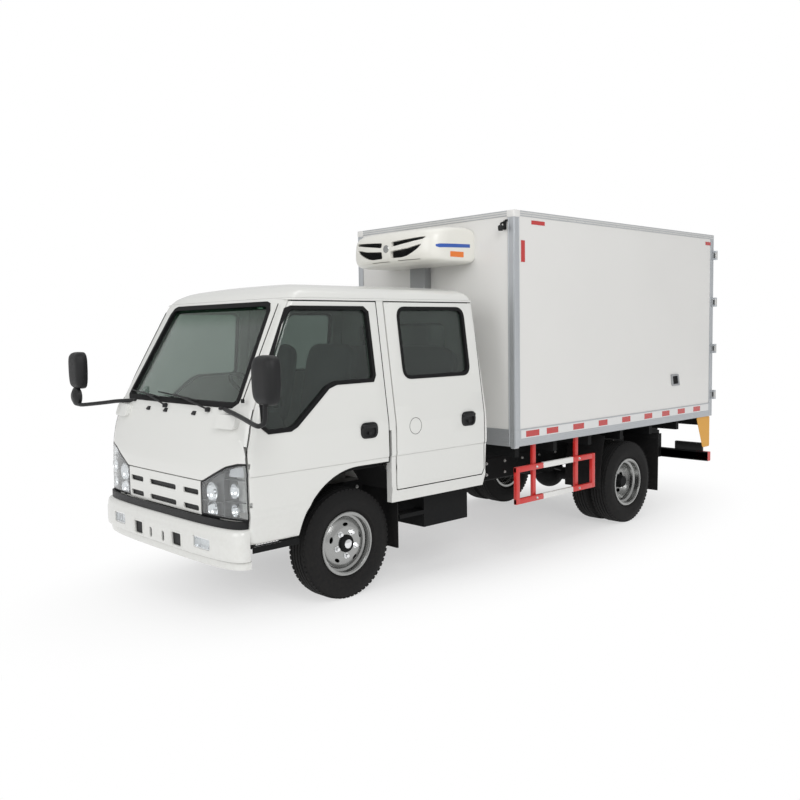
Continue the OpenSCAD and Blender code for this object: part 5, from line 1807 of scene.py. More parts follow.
    def front(self, side: int, wheel: str, tyre: str) -> None:
        """A front wheel and its tyre.

        Args:
            side: LEFT or RIGHT.
            wheel: the wheel's CAD node and body.
            tyre: the tyre's CAD node.
        """
        y, x = self.front_y, AXLE_X
        steel = self.rim(y, x) + self.disc(y, x, 0.036, 0.028) + self.hub(self.lip, y, x, 112)
        put(f"{wheel}_steel", steel.on(side), WHEEL_SILVER, "wheel_silver", wheel, [wheel])
        put(f"{wheel}_nuts", self.studs(y + 0.0635, x, 1).on(side), CHROME, "wheel_silver", wheel)
        hub = self.hub([(0.0, -0.01), (0.14, -0.01), (0.147, -0.004), (0.147, 0.006), (0.062, 0.01), (0.0605, 0.072),
            (0.056, 0.079), (0.05, 0.082), (0.0, 0.082)], y, x)
        put(f"{wheel}_hub", hub.on(side), CHASSIS_BLACK, "wheel_silver", wheel)
        cap = self.hub([(0.0, 0.07), (0.034, 0.07), (0.034, 0.08), (0.031, 0.089), (0.02, 0.0945), (0.0, 0.0958)], y,
            x, 56)
        put(f"{wheel}_cap", cap.on(side), CHROME, "wheel_silver", wheel)
        put(f"{tyre}_rubber", self.tyre(y, x).on(side), TYRE, "tyre_rubber", wheel, [tyre])

    def rear(self, side: int, wheels: str, tyres: str) -> None:
        """Twin rear wheels and their tyres.

        Args:
            side: LEFT or RIGHT.
            wheels: the wheels' CAD node.
            tyres: the tyres' CAD node.
        """
        x, out, near = REAR_X, self.outer_y, self.inner_y
        steel = (self.rim(out, x) + self.disc(out, x, -0.016, -0.083) + self.rim(near, x) + self.disc(near, x, 0.016,
            0.083) + self.hub(self.lip, out, x, 112))
        put(f"{wheels}_steel", steel.on(side), WHEEL_SILVER, "wheel_silver", wheels, [wheels])
        put(f"{wheels}_nuts", self.studs(out - 0.098, x, 1).on(side), CHROME, "wheel_silver", wheels)
        hub = self.hub([(0.0, -0.098), (0.06, -0.098), (0.0625, -0.09), (0.0625, 0.1), (0.058, 0.118), (0.05, 0.132),
            (0.046, 0.1415), (0.0, 0.1415)], self.hub_y, x)
        bolts = [Spot((x + 0.051 * math.cos(a), self.hub_y + 0.126, WHEEL_Z + 0.051 * math.sin(a)), (0, 1, 0))
            for a in np.linspace(0, 2 * math.pi, 9)[:-1]]
        put(f"{wheels}_hub", (hub + repeated(Repeat.HEAD, bolts, 0.012, 0.008)).on(side), CHASSIS_BLACK,
            "wheel_silver", wheels)
        put(f"{tyres}_rubber", (self.tyre(out, x) + self.tyre(near, x)).on(side), TYRE, "tyre_rubber", wheels,
            [tyres])


# ---------------------------------------------------------------- insulated box

BOX_LOW, BOX_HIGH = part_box("box_edge_rails")
BOX_BACK, BOX_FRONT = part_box("box_floor")[0].x - 0.004, BOX_HIGH.x
BOX_Y = 0.944


@dataclass
class CargoBox:
    """Walls, aluminium edges, tape, vent and rear doors of the insulated box."""

    bottom: float = BOX_LOW.z
    top: float = BOX_HIGH.z
    foot: float = 0.064
    cap: float = 0.046
    leaf_y: Pair = (0.009, 0.852)
    leaf_z: Pair = (0.996, 2.693)
    rods: Pair = (0.25, 0.64)
    dashes: Sequence[Pair] = ((-1.8, -1.975), (-2.075, -2.235), (-2.45, -2.61), (-2.835, -2.975), (-3.215, -3.355),
        (-3.6, -3.74), (-3.925, -4.065), (-4.225, -4.365), (-4.54, -4.68))

    def build(self) -> None:
        """Builds the box."""
        for node in ("box_floor", "box_front_wall", "box_side_walls", "box_roof"):
            dress(node, BOX_WHITE)
        self.rails()
        self.ribs()
        self.marks()
        self.vent()
        for side in (LEFT, RIGHT):
            self.door(side)

    def rails(self) -> None:
        """The thin angles along every edge, split where their grain turns."""
        whole = cad_shape("box_edge_rails")
        between = block((BOX_BACK - 0.1, -1.1, self.bottom + self.foot + 0.0002),
            (BOX_FRONT + 0.1, 1.1, self.top - self.cap - 0.0002))
        uprights, level = keep(whole, between), carve(whole, between)
        z0, z1 = self.bottom + self.foot - 0.002, self.bottom + 0.14
        sills = block((BOX_BACK + 0.06, BOX_Y - 0.0044, z0), (BOX_FRONT - 0.06, BOX_Y - 0.0002, z1), 0.001, 1).both()
        front = block((BOX_FRONT - 0.0044, -BOX_Y + 0.06, z0), (BOX_FRONT - 0.0002, BOX_Y - 0.06, z1), 0.001, 1)
        upper = block((BOX_BACK - 0.1, -1.1, self.top - 0.2), (BOX_FRONT + 0.1, 1.1, self.top + 0.1))
        put("box_top_rails", bevelled(keep(level, upper), 0.0012, 1, 50), PALE_RAIL, "box_edge")
        put("box_bottom_rails", bevelled(carve(level, upper), 0.0012, 1, 50) + sills + front, ALUMINIUM, "box_edge",
            stands_for=["box_edge_rails"])
        put("box_uprights", bevelled(uprights, 0.0012, 1, 50), UPRIGHT_ALUMINIUM, "box_edge")

    def rib(self, start: Triple, end: Triple, out: Triple, across: Triple, wide: float = 0.005,
            high: float = 0.0022) -> Shape:
        """One rounded rib pressed along an extrusion.

        Args:
            start: one end.
            end: the other end.
            out: the way it stands out.
            across: the way across it.
            wide: half its width.
            high: how far it stands out.

        Returns:
            The rib.
        """
        half = [(-wide, -0.0005), (-wide, high * 0.3), (-wide * 0.55, high), (wide * 0.55, high), (wide, high * 0.3),
            (wide, -0.0005)]
        return along(half, start, end, across, out)

    def ribs(self) -> None:
        """Ribs and rivets of the extrusions."""
        x0, x1, z0, z1 = BOX_BACK, BOX_FRONT, self.bottom, self.top
        level, upright, spots = [], [], []
        for s in (1, -1):
            y = s * BOX_Y
            for z in (z0 + 0.006, z0 + 0.022, z0 + 0.038, z0 + 0.054, z0 + 0.136, z1 - 0.006, z1 - 0.024, z1 - 0.042):
                level.append(self.rib((x0 + 0.002, y, z), (x1 - 0.002, y, z), (0, s, 0), (0, 0, 1), 0.0032, 0.002))
            for x in (x0 + 0.008, x0 + 0.058, x1 - 0.008, x1 - 0.06):
                upright.append(self.rib((x, y, z0 + 0.004), (x, y, z1 - 0.004), (0, s, 0), (1, 0, 0), 0.004, 0.0026))
            for i in range(26):
                spots.append(Spot((x0 + 0.1 + i * (x1 - x0 - 0.2) / 25, y + s * 0.0002, z1 - 0.033), (0, s, 0)))
            for i in range(15):
                for x in (x0 + 0.033, x1 - 0.034):
                    spots.append(Spot((x, y + s * 0.0002, z0 + 0.12 + i * (z1 - z0 - 0.24) / 14), (0, s, 0)))
            for y2 in (BOX_Y - 0.008, BOX_Y - 0.06):
                upright.append(self.rib((x1, s * y2, z0 + 0.004), (x1, s * y2, z1 - 0.004), (1, 0, 0), (0, 1, 0),
                    0.004, 0.0026))
        for z in (z0 + 0.006, z0 + 0.022, z0 + 0.044, z0 + 0.066, z0 + 0.1, z0 + 0.136, z1 - 0.006, z1 - 0.024,
                z1 - 0.042):
            level.append(self.rib((x1, -BOX_Y + 0.002, z), (x1, BOX_Y - 0.002, z), (1, 0, 0), (0, 0, 1), 0.0032,
                0.002))
        for z in (z0 + 0.012, z0 + 0.03, z1 - 0.012, z1 - 0.03):
            level.append(self.rib((x0, -BOX_Y + 0.002, z), (x0, BOX_Y - 0.002, z), (-1, 0, 0), (0, 0, 1), 0.0032,
                0.002))
        put("box_level_ribs", total(level), ALUMINIUM, "box_edge")
        put("box_upright_ribs", total(upright), UPRIGHT_ALUMINIUM, "box_edge")
        put("box_rivets", repeated(Repeat.RIVET, spots, 0.009, 0.0022), STEEL, "box_edge")

    def marks(self) -> None:
        """Corner caps, post feet, marker lamps, reflectors and the tape on the bottom rail."""
        z0, z1 = self.bottom, self.top
        cap = block((BOX_FRONT - 0.075, BOX_Y - 0.075, z1 - 0.056), (BOX_FRONT + 0.0045, BOX_Y + 0.0045, z1 - 0.0005))
        put("box_corner_caps", bevelled(cap, 0.008, 3).both(), BOX_WHITE, "box_panel")
        tip = block((BOX_FRONT - 0.058, BOX_Y - 0.055, z0 - 0.016), (BOX_FRONT - 0.002, BOX_Y - 0.002, z0 + 0.03))
        put("box_post_feet", bevelled(tip, 0.01, 3).both(), UPRIGHT_ALUMINIUM, "box_edge")
        x = BOX_FRONT - 0.004
        base = block((x, 0.838, z1 - 0.15), (x + 0.012, 0.866, z1 - 0.078), 0.003)
        stalk = tube([(x + 0.008, 0.852, z1 - 0.095), (x + 0.045, 0.85, z1 - 0.1), (x + 0.052, 0.848, z1 - 0.118)],
            0.008, 12)
        lens = turned([(0.0, -0.026), (0.017, -0.026), (0.021, -0.012), (0.021, 0.01), (0.014, 0.018), (0.0, 0.018)],
            (x + 0.054, 0.848, z1 - 0.135), "z", 28)
        plug = block((x, 0.86, z1 - 0.085), (x + 0.02, 0.884, z1 - 0.072), 0.003)
        put("marker_lamps", (base + stalk + lens + plug).both(), TRIM_BLACK, "trim_black")
        red, y = [], BOX_Y - 0.0045
        for (back, front), (low, high) in (((-2.06, -1.885), (2.68, 2.712)), ((-1.8, -1.752), (2.375, 2.547)),
                ((-4.895, -4.765), (2.672, 2.706)), ((-4.925, -4.888), (2.4, 2.55))):
            plate = block((AXLE_X + back, y, low), (AXLE_X + front, y + 0.0035, high), 0.001, 1)
            red += [plate, plate.mirrored()]
        put("side_reflectors", total(red), LAMP_RED, "guard_red")
        low, high = z0 + 0.062, z0 + 0.13
        strip = block((BOX_BACK + 0.075, BOX_Y + 0.0002, low), (BOX_FRONT - 0.075, BOX_Y + 0.0012, high))
        put("rail_tape", strip.both(), TAPE_WHITE, "box_panel")
        dash = [block((AXLE_X + b, BOX_Y + 0.0008, low + 0.008), (AXLE_X + a, BOX_Y + 0.0018, high - 0.01))
            for a, b in self.dashes]
        put("rail_tape_dashes", total(dash).both(), LAMP_RED, "guard_red")

    def vent(self) -> None:
        """The pressure vents low on both sides, framed and louvred."""
        y = BOX_Y - 0.004
        outline = rounded([(-4.255, 1.252), (-4.11, 1.252), (-4.085, 1.366), (-4.225, 1.366)], 0.012)
        hole = rounded([(-4.228, 1.27), (-4.128, 1.27), (-4.112, 1.348), (-4.208, 1.348)], 0.008)
        ring = carve(prism(sideways(outline), y, y + 0.012, "y"), prism(sideways(hole), y - 0.01, y + 0.03, "y"))
        put("side_vents", bevelled(ring, 0.002, 2, 50).both(), UNIT_GREY, "unit_grey")
        spots = [Spot((AXLE_X - 4.172, y + 0.003, 1.276 + i * 0.0108), (0, 0.75, -0.66)) for i in range(7)]
        slats = repeated(Repeat.BLOCK, spots, 0.104, 0.002, 0.012)
        duct = prism(sideways(offset(hole, 0.004)), y - 0.03, y + 0.0008, "y")
        put("side_vent_ducts", (duct + slats).both(), TRIM_BLACK, "trim_black")

    def plate(self, outline: Sequence[Pair], low: float, high: float, edge: float, steps: int = 2) -> Shape:
        """A flat fitting on the rear doors, its outline across the truck."""
        return bevelled(prism(outline, low, high, "x"), edge, steps, 50)

    def door(self, side: int) -> None:
        """One rear door: leaf, gasket, lock rods, handles and hinges.

        Args:
            side: LEFT or RIGHT.
        """
        name = f"{SIDE_NAME[side]}_box_door"
        (y0, y1), (z0, z1), x = self.leaf_y, self.leaf_z, BOX_BACK
        leaf = bevelled(block((x + 0.004, y0 + 0.004, z0 + 0.004), (x + 0.076, y1 - 0.004, z1 - 0.004)), 0.005, 2)
        frame_bars = []
        for lo, hi in (((x - 0.001, y0 + 0.004, z0 + 0.004), (x + 0.006, y0 + 0.046, z1 - 0.004)),
                ((x - 0.001, y1 - 0.046, z0 + 0.004), (x + 0.006, y1 - 0.004, z1 - 0.004)),
                ((x - 0.0005, y0 + 0.005, z0 + 0.004), (x + 0.006, y1 - 0.005, z0 + 0.046)),
                ((x - 0.0005, y0 + 0.005, z1 - 0.046), (x + 0.006, y1 - 0.005, z1 - 0.004))):
            frame_bars.append(block(lo, hi, 0.002, 2))
        put(f"{name}_leaf", leaf.on(side), BOX_WHITE, "box_panel", name, [name])
        put(f"{name}_edges", total(frame_bars).on(side), UPRIGHT_ALUMINIUM, "box_edge", name)
        gasket = []
        for lift in (0.022, 0.042):
            ring = [(y0 + 0.003, z0 + 0.003), (y1 - 0.003, z0 + 0.003), (y1 - 0.003, z1 - 0.003),
                (y0 + 0.003, z1 - 0.003)]
            outer = prism(rounded(offset(ring, 0.0025), 0.01), x + lift, x + lift + 0.009, "x")
            gasket.append(carve(outer, prism(rounded(offset(ring, -0.006), 0.01), x + lift - 0.01, x + lift + 0.02,
                "x")))
        put(f"{name}_gasket", total(gasket).on(side), SEAL_BLACK, "trim_black", name)
        steel, bolts = [], []
        for z in [z0 + 0.12 + i * (z1 - z0 - 0.24) / 3 for i in range(4)]:
            outline = rounded([(y1 - 0.19, z - 0.018), (y1 - 0.19, z + 0.018), (y1 - 0.05, z + 0.027),
                (y1 - 0.002, z + 0.027), (y1 - 0.002, z - 0.027), (y1 - 0.05, z - 0.027)], 0.01)
            steel.append(self.plate(outline, x - 0.01, x + 0.004, 0.002))
            arm = along([(-0.0045, -0.027), (0.0045, -0.027), (0.0045, 0.027), (-0.0045, 0.027)],
                (x - 0.0155, y1 - 0.06, z), (x - 0.0155, 0.958, z), (1, 0, 0), (0, 0, 1))
            steel.append(bevelled(arm, 0.0015, 1, 50))
            steel.append(turned([(0.0, -0.048), (0.0072, -0.048), (0.008, -0.046), (0.008, -0.028), (0.014, -0.0275),
                (0.014, 0.0275), (0.008, 0.028), (0.008, 0.046), (0.0072, 0.048), (0.0, 0.048)],
                (x - 0.016, 0.964, z), "z", 28))
            for dy, dz in ((0.165, 0.0), (0.12, 0.01), (0.12, -0.01), (0.08, 0.014), (0.08, -0.014)):
                bolts.append(Spot((x - 0.01, y1 - dy, z + dz), (-1, 0, 0)))
        for y in self.rods:
            rod = turned([(0.0, z0 + 0.028), (0.0115, z0 + 0.028), (0.013, z0 + 0.032), (0.013, z1 - 0.032),
                (0.0115, z1 - 0.028), (0.0, z1 - 0.028)], (x - 0.026, y, 0.0), "z", 24)
            steel.append(rod)
            for z in (z0 + 0.06, (z0 + z1) / 2, z1 - 0.06):
                base = rectangle((y - 0.026, z - 0.022), (y + 0.026, z + 0.022), 0.008)
                clip = rectangle((y - 0.018, z - 0.016), (y + 0.018, z + 0.016), 0.006)
                steel += [self.plate(base, x - 0.006, x + 0.004, 0.0015, 1), self.plate(clip, x - 0.04, x - 0.004,
                    0.004)]
                bolts += [Spot((x - 0.006, y + d, z), (-1, 0, 0)) for d in (-0.022, 0.022)]
            z, ring = z0 + 0.348, arc((0, 0), 1.0, 0, 330, 11)
            grip = skin([np.array([(x - 0.04 + a * 0.006, y + py, z + b * k) for a, b in ring])
                for py, k in ((0.01, 0.018), (-0.03, 0.018), (-0.08, 0.012), (-0.15, 0.012), (-0.19, 0.016),
                (-0.199, 0.01))])
            hasp = rectangle((y - 0.165, z - 0.035), (y - 0.125, z + 0.035), 0.01)
            steel += [grip, self.plate(hasp, x - 0.008, x + 0.004, 0.002)]
        put(f"{name}_steel", total(steel).on(side), STEEL, "box_edge", name)
        put(f"{name}_bolts", repeated(Repeat.RIVET, bolts, 0.012, 0.005).on(side), STEEL, "box_edge", name)


# ---------------------------------------------------------------- refrigeration unit


@dataclass
class CoolingUnit:
    """Rounded condenser unit over the cab, its louvres and the duct under it."""

    back: float = BOX_FRONT - 0.004
    low: float = 2.375
    half: float = 0.5195
    badge_z: float = 2.517
    upper: Sequence[Pair] = ((0.055, 2.572), (0.245, 2.583), (0.42, 2.592), (0.397, 2.572), (0.245, 2.552),
        (0.058, 2.53))
    lower: Sequence[Pair] = ((0.05, 2.497), (0.244, 2.509), (0.388, 2.535), (0.353, 2.499), (0.3, 2.47),
        (0.24, 2.447), (0.176, 2.438), (0.05, 2.44))

    def build(self) -> None:
        """Builds the unit."""
        case = self.case(0.0)
        outlines = [rounded(self.upper, 0.018), rounded(self.lower, 0.018)]
        for outline in outlines:
            hole = prism(outline, 0.7, 1.0, "x")
            case = carve(carve(case, hole), hole.mirrored())
        slits = [prism(rectangle((-0.2, 2.41), (0.02, 2.416), 0.003), 0.74, 1.0, "x"),
            prism(rectangle((0.115, 2.412), (0.36, 2.418), 0.003), 0.74, 1.0, "x")]
        case = carve(case, total(slits))
        put("cooling_case", bevelled(case, 0.003, 2, 48), UNIT_CREAM, "unit_cream", stands_for=["refrigeration_unit"])
        dark, slats = [], []
        for outline in outlines:
            dark.append(prism(offset(outline, 0.006), 0.695, 0.735, "x"))
            a, b = min(z for _, z in outline), max(z for _, z in outline)
            spots = [Spot((0.8, 0.235, z), (0.55, 0, 0.83), (0, 1, 0)) for z in np.arange(a + 0.008, b - 0.004,
                0.0105)]
            bars = repeated(Repeat.BLOCK, spots, 0.4, 0.0022, 0.022)
            slats.append(keep(bars, prism(offset(outline, -0.001), 0.76, 0.86, "x")))
        put("cooling_recess", total(dark).both(), SEAL_BLACK, "trim_black")
        inside = keep(total(slats).both(), self.case(0.002))
        put("cooling_louvres", inside, TRIM_BLACK, "trim_black")
        badge = turned([(0.0, -0.004), (0.03, -0.004), (0.034, 0.0), (0.03, 0.005), (0.024, 0.0065), (0.0, 0.0065)],
            (self.front_x(self.badge_z) - 0.0005, 0.0, self.badge_z), "x", 40)
        put("cooling_badge", badge, WHEEL_SILVER, "unit_grey")
        sheet = carve(self.case(-0.0008), self.case(0.002))
        stripe = [(0.378, 2.512), (0.72, 2.5), (0.745, 2.508), (0.745, 2.524), (0.72, 2.53), (0.378, 2.54)]
        label = rectangle((0.455, 2.43), (0.612, 2.474), 0.006)
        for name, outline, finish in (("stripes", stripe, BLUE_TAPE), ("labels", label, ORANGE_TAPE)):
            mark = prism(outline, 0.4, 0.53, "y")
            put(f"cooling_{name}", keep(sheet, mark) + keep(sheet, mark.mirrored()), finish, "unit_cream")
        self.duct()

    def front_x(self, z: float) -> float:
        """How far forward the case stands at a height on its middle line."""
        return float(np.interp(z - self.low, [0.0, 0.026, 0.08, 0.225, 0.275, 0.307, 0.315],
            [0.724, 0.814, 0.8425, 0.83, 0.784, 0.654, 0.444]))

    def case(self, inset: float) -> Shape:
        """The rounded case as one form, from the box's wall forward.

        Args:
            inset: how far every face is moved in.

        Returns:
            The case.
        """
        profile = rounded([(self.back, 0.002), (0.724, 0.002), (0.812, 0.026), (0.842, 0.085), (0.828, 0.222),
            (0.784, 0.274), (0.654, 0.304), (0.444, 0.313), (self.back, 0.29)], 0.045, 6)
        shape = np.array(offset(profile, -inset))
        rings = []
        for t in np.linspace(-1, 1, 65):
            u = math.sin(t * math.pi / 2)
            y = (self.half - inset) * math.copysign(abs(u), u)
            edge = max(0.0, 1 - abs(u) ** 5.5) ** (1 / 5.5)
            bow = 1 - 0.06 * abs(u) ** 2
            x = self.back + (shape[:, 0] - self.back) * (0.3 + 0.7 * edge) * bow
            mid = 0.155
            z = self.low + mid + (shape[:, 1] - mid) * (0.62 + 0.38 * edge)
            rings.append(np.column_stack([x, np.full(len(x), y), z]))
        return skin(rings)

    def duct(self) -> None:
        """The grey cover that carries the hoses down the box's front wall."""
        made = block((self.back, -0.17, 1.12), (self.back + 0.078, 0.015, self.low + 0.01), 0.006)
        bands = [self.band(z) for z in (1.3, 1.72, 2.14)]
        spots = [Spot((self.back + 0.078, y, z), (1, 0, 0)) for y in (-0.158, 0.003)
            for z in np.arange(1.16, 2.36, 0.15)]
        put("duct_cover_sheet", made + total(bands), UNIT_GREY, "unit_grey", stands_for=["duct_cover"])
        put("duct_rivets", repeated(Repeat.RIVET, spots, 0.01, 0.003), STEEL, "unit_grey")
        dress("evaporator", UNIT_CREAM)

    def band(self, z: float) -> Shape:
        """A strap over the duct."""
        return block((self.back, -0.196, z), (self.back + 0.0805, 0.041, z + 0.03), 0.0015, 1)


# ---------------------------------------------------------------- under the truck


@dataclass
class Running:
    """Chassis, axles, tanks, guards, flaps and tail lamps."""

    tail_x: float = -2.995
    guard_y: float = 0.932
    guard_depth: float = 0.03
    guard_rail: float = 0.046
    guard_posts: Pair = (-1.96, -2.56)
    flap_rows: int = 12
    bolt_y: float = 0.3502

    def build(self) -> None:
        """Builds everything under the cab and the box."""
        for node in ("chassis_frame", "box_subframe", "front_axle", "rear_axle", "leaf_springs", "drive_shaft",
                "fuel_tank", "battery_box", "left_knuckle", "right_knuckle"):
            dress(node, CHASSIS_BLACK)
        for node in ("engine_block", "exhaust"):
            dress(node, ENGINE_GREY)
        self.guards()
        self.flaps()
        self.bar()
        self.lamps()
        self.step()
        self.bolts()

    def guards(self) -> None:
        """Side guards: red frames with white middles, and their posts."""
        y1, depth, rail = self.guard_y, self.guard_depth, self.guard_rail
        red, white = [], []
        for z in (0.414, 0.676):
            for a, b, into in ((-2.8, -2.47, red), (-2.47, -2.05, white), (-2.05, -1.69, red)):
                into.append(cab_block((a, y1 - depth, z), (b, y1, z + rail), 0.004 if into is red else 0.0025))
        for x in (-2.8, -1.736):
            red.append(cab_block((x, y1 - depth - 0.0005, 0.4145), (x + rail, y1 + 0.0005, 0.7215), 0.004))
        for x in self.guard_posts:
            post = cab_block((x - 0.022, y1 - depth - 0.024, 0.422), (x + 0.022, y1 - depth + 0.001, 0.892), 0.003)
            red.append(post)
        spots = []
        for x in self.guard_posts:
            spots += [Spot((AXLE_X + x, y1 + 0.0002, z), (0, 1, 0)) for z in (0.437, 0.699)]
        put("side_guard_red", total(red).both(), GUARD_RED, "guard_red", stands_for=["side_guards"])
        put("side_guard_white", total(white).both(), GUARD_WHITE, "guard_red")
        put("side_guard_bolts", repeated(Repeat.HEAD, spots, 0.017, 0.008).both(), STEEL, "chassis_black")

    def flaps(self) -> None:
        """Front arch liners, rear mud flaps with their hangers, and the yellow corner plates."""
        liner = keep(cad_shape("mudguards"), cab_block((-0.6, -1, 0), (0.7, 1, 1.2)))
        x, steps = REAR_X - 0.514, np.linspace(0, 1, self.flap_rows)
        back = skin([np.array([(x - 0.003 - 0.006 * math.sin(t * 2.6) + dx, y, 0.232 + t * 0.568)
            for dx, y in ((0.0, 0.541), (0.0, 0.927), (-0.0055, 0.927), (-0.0055, 0.541))]) for t in steps])
        hanger = block((x - 0.036, 0.347, 0.742), (x - 0.006, 0.929, 0.782), 0.004)
        fore = skin([np.array([(REAR_X + 0.47 - 0.075 * t ** 2 + dx, y, 0.38 + t * 0.48)
            for dx, y in ((0.0, 0.541), (0.0, 0.925), (0.005, 0.925), (0.005, 0.541))]) for t in steps])
        put("arch_liners_and_flaps", liner + (back + hanger + fore).both(), SEAL_BLACK, "trim_black",
            stands_for=["mudguards"])
        outline = rounded([(BOX_BACK + 0.008, 0.565), (BOX_BACK + 0.15, 0.565), (BOX_BACK + 0.285, 0.888),
            (BOX_BACK + 0.008, 0.888)], 0.02)
        plate = bevelled(prism(outline, 0.9205, 0.9255, "y"), 0.0015, 1, 50)
        put("corner_plates", plate.both(), YELLOW, "guard_red")

    def bar(self) -> None:
        """The underride bar with its red ends and brackets."""
        x, section = self.tail_x, rectangle((0.0, 0.4), (0.06, 0.5), 0.012)
        beam, ends = (along(section, (x, low, 0), (x, high, 0), (1, 0, 0), (0, 0, 1))
            for low, high in ((-0.77, 0.77), (0.77, 0.91)))
        brackets = keep(cad_shape("underride_bar"), block((x + 0.059, -1, 0.3), (x + 0.5, 1, 0.9)))
        put("underride_beam", beam + brackets, CHASSIS_BLACK, "chassis_black", stands_for=["underride_bar"])
        put("underride_ends", ends.both(), GUARD_RED, "guard_red")
        marks = [block((x, y - 0.06, 0.43), (x + 0.003, y + 0.06, 0.47), 0.001, 1) for y in (-0.6, -0.2, 0.2, 0.6)]
        put("underride_reflectors", total(marks), LAMP_RED, "guard_red")

    def lamps(self) -> None:
        """Tail lamps: housings with red, amber and clear lenses."""
        x = self.tail_x
        case = block((x + 0.016, 0.52, 0.5), (x + 0.056, 0.84, 0.59), 0.008)
        put("tail_lamp_cases", case.both(), TRIM_BLACK, "trim_black", stands_for=["tail_lamps"])
        for colour, low, high, finish, slot in (("red", 0.688, 0.832, LAMP_RED, "lamp_red"),
                ("amber", 0.606, 0.684, LAMP_AMBER, "lamp_red"), ("clear", 0.528, 0.602, LAMP_WHITE, "lamp_clear")):
            lens = block((x + 0.008, low, 0.508), (x + 0.03, high, 0.582), 0.01, 3)
            put(f"tail_lamp_{colour}", lens.both(), finish, slot)

    def step(self) -> None:
        """Treads on the boarding steps ahead of the front wheels, and the strips under the front doors."""
        back, front = AXLE_X + 0.49, AXLE_X + 0.842
        strip = along(rounded([(0.0, 0.0), (0.01, 0.004), (0.01, 0.036), (0.0, 0.042)], 0.003), (back, 0.914, 0.488),
            (front, 0.914, 0.488), (0, 1, 0), (0, 0, 1)) + block((back, 0.902, 0.527), (front, 0.908, 0.5342))
        teeth = [Spot((AXLE_X + x, y, 0.5305), (0, 0, 1)) for x in np.arange(0.53, 0.83, 0.022)
            for y in np.arange(0.6, 0.9, 0.03)]
        put("step_strips", bevelled(strip.both(), 0.0015, 1, 50), CHASSIS_BLACK, "chassis_black")
        put("step_treads", repeated(Repeat.RIVET, teeth, 0.01, 0.003).both(), CHASSIS_BLACK, "chassis_black")

    def bolts(self) -> None:
        """Bolt heads along the chassis rails."""
        spots = [Spot((float(x), s * self.bolt_y, z), (0, s, 0)) for x in np.arange(-2.75, 2.75, 0.25)
            for z in (0.56, 0.66) for s in (1, -1)]
        put("frame_bolts", repeated(Repeat.HEAD, spots, 0.02, 0.01, spread=1.0, seed=11), STEEL, "chassis_black")


# ---------------------------------------------------------------- studio


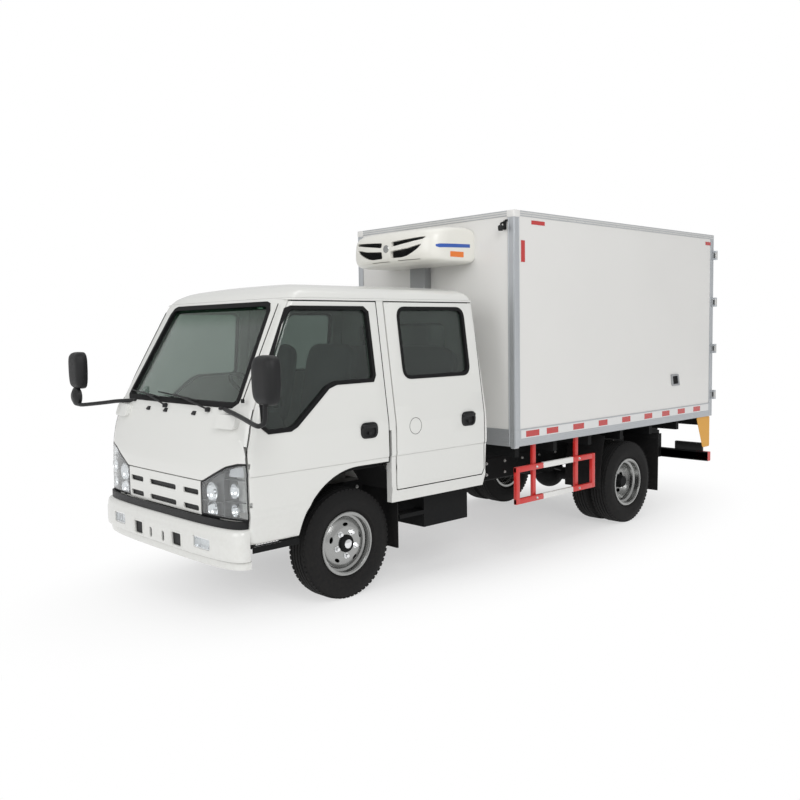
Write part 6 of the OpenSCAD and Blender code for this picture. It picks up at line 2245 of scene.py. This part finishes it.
@dataclass
class Studio:
    """Camera, lamps, floor and the white surroundings."""

    place: Triple = (5.774, 5.3835, 1.8466)
    yaw: float = -2.32617
    pitch: float = 0.0798811
    roll: float = -0.0159803
    lens: float = 39.25
    ambient: float = 0.43

    def build(self) -> None:
        """Sets up the picture."""
        self.camera()
        self.world()
        self.floor()
        self.lamp("key_light", (5.5, 8.5, 7.5), (0.2, 0.0, 0.9), (5.0, 5.0), 420.0)
        self.lamp("front_light", (10.5, 1.0, 5.0), (1.0, 0.0, 1.0), (4.5, 4.5), 190.0)
        self.lamp("top_light", (-0.5, 0.0, 9.5), (0.0, 0.0, 1.0), (7.0, 5.0), 150.0)

    def camera(self) -> None:
        """The main camera, nearly level, ahead and to the left of the truck."""
        c, s = math.cos(self.pitch), math.sin(self.pitch)
        ahead = Vector((c * math.cos(self.yaw), c * math.sin(self.yaw), -s))
        right = Vector((math.sin(self.yaw), -math.cos(self.yaw), 0.0))
        up = right.cross(ahead)
        cr, sr = math.cos(self.roll), math.sin(self.roll)
        x_axis, y_axis = cr * right + sr * up, -sr * right + cr * up
        data = bpy.data.cameras.new("camera")
        data.lens, data.sensor_width, data.clip_end = self.lens, 36.0, 200.0
        camera = bpy.data.objects.new("camera", data)
        turn = Matrix((x_axis, y_axis, -ahead)).transposed().to_4x4()
        camera.matrix_world = Matrix.Translation(self.place) @ turn
        bpy.context.scene.collection.objects.link(camera)
        bpy.context.scene.camera = camera
        bpy.context.scene.view_settings.view_transform = "Standard"

    def world(self) -> None:
        """White to the camera and to mirrors, a soft grey to everything else."""
        world = bpy.data.worlds.new("surroundings")
        world.use_nodes = True
        net = Net(world.node_tree)
        ray = net.add("ShaderNodeLightPath").outputs
        seen = net.maths("ADD", ray["Is Camera Ray"], net.maths("ADD", net.times(ray["Is Glossy Ray"], 0.45),
            ray["Is Transmission Ray"]), True)
        shade = net.mix(seen, rgba((self.ambient,) * 3), rgba((1.0, 1.0, 1.0)))
        net.join(shade, world.node_tree.nodes["Background"].inputs["Color"])
        bpy.context.scene.world = world

    def floor(self) -> None:
        """A pale floor that fades into the white around it and keeps the truck's shadow."""
        ring = [(26 * math.cos(a), 26 * math.sin(a), 0.0) for a in np.linspace(0, 2 * math.pi, 65)[:-1]]
        mesh = bpy.data.meshes.new("studio_floor")
        mesh.from_pydata(ring, [], [tuple(range(64))])
        made = bpy.data.materials.new("studio_floor")
        made.use_nodes = True
        net = Net(made.node_tree)
        made.node_tree.nodes.remove(made.node_tree.nodes["Principled BSDF"])
        place = net.add("ShaderNodeTexCoord").outputs["Object"]
        flat = net.add("ShaderNodeVectorMath", {0: place, 1: (0.33, 0.75, 0.0)}, operation="MULTIPLY").outputs[0]
        away = net.add("ShaderNodeVectorMath", {0: flat}, operation="LENGTH").outputs["Value"]
        fade = net.maths("ADD", 0.5, net.times(net.ramp(away, 0.55, 1.45), 0.5))
        matt = net.add("ShaderNodeBsdfDiffuse", {"Color": rgba((0.93, 0.93, 0.93))})
        glow = net.add("ShaderNodeEmission", {"Color": rgba((1.0, 1.0, 1.0)), "Strength": 1.0})
        both = net.add("ShaderNodeMixShader", {0: fade, 1: matt.outputs[0], 2: glow.outputs[0]})
        under = net.add("ShaderNodeMixShader", {0: net.add("ShaderNodeNewGeometry").outputs["Backfacing"],
            1: both.outputs[0], 2: net.add("ShaderNodeBsdfTransparent").outputs[0]})
        net.join(under.outputs[0], net.tree.nodes["Material Output"].inputs["Surface"])
        mesh.materials.append(made)
        floor = bpy.data.objects.new("studio_floor", mesh)
        bpy.context.scene.collection.objects.link(floor)

    def lamp(self, name: str, at: Triple, aim: Triple, size: Pair, power: float) -> None:
        """One broad lamp turned toward the truck.

        Args:
            name: lamp name.
            at: where it hangs.
            aim: the point it faces.
            size: its width and height.
            power: its power in watts.
        """
        data = bpy.data.lights.new(name, "AREA")
        data.shape, data.size, data.size_y, data.energy = "RECTANGLE", size[0], size[1], power
        light = bpy.data.objects.new(name, data)
        light.location = at
        light.rotation_euler = (Vector(aim) - Vector(at)).to_track_quat("-Z", "Y").to_euler()
        bpy.context.scene.collection.objects.link(light)


# ---------------------------------------------------------------- the whole truck


def main() -> None:
    """Builds the studio and its camera first, then every sub-assembly of the truck."""
    logging.basicConfig(level=logging.INFO, format="%(message)s")
    Studio().build()
    for part in (Cab(), FrontEnd(), Interior(), Wheels(), CargoBox(), CoolingUnit(), Running()):
        LOG.info("-- %s", type(part).__name__)
        part.build()


if __name__ == "__main__":
    main()
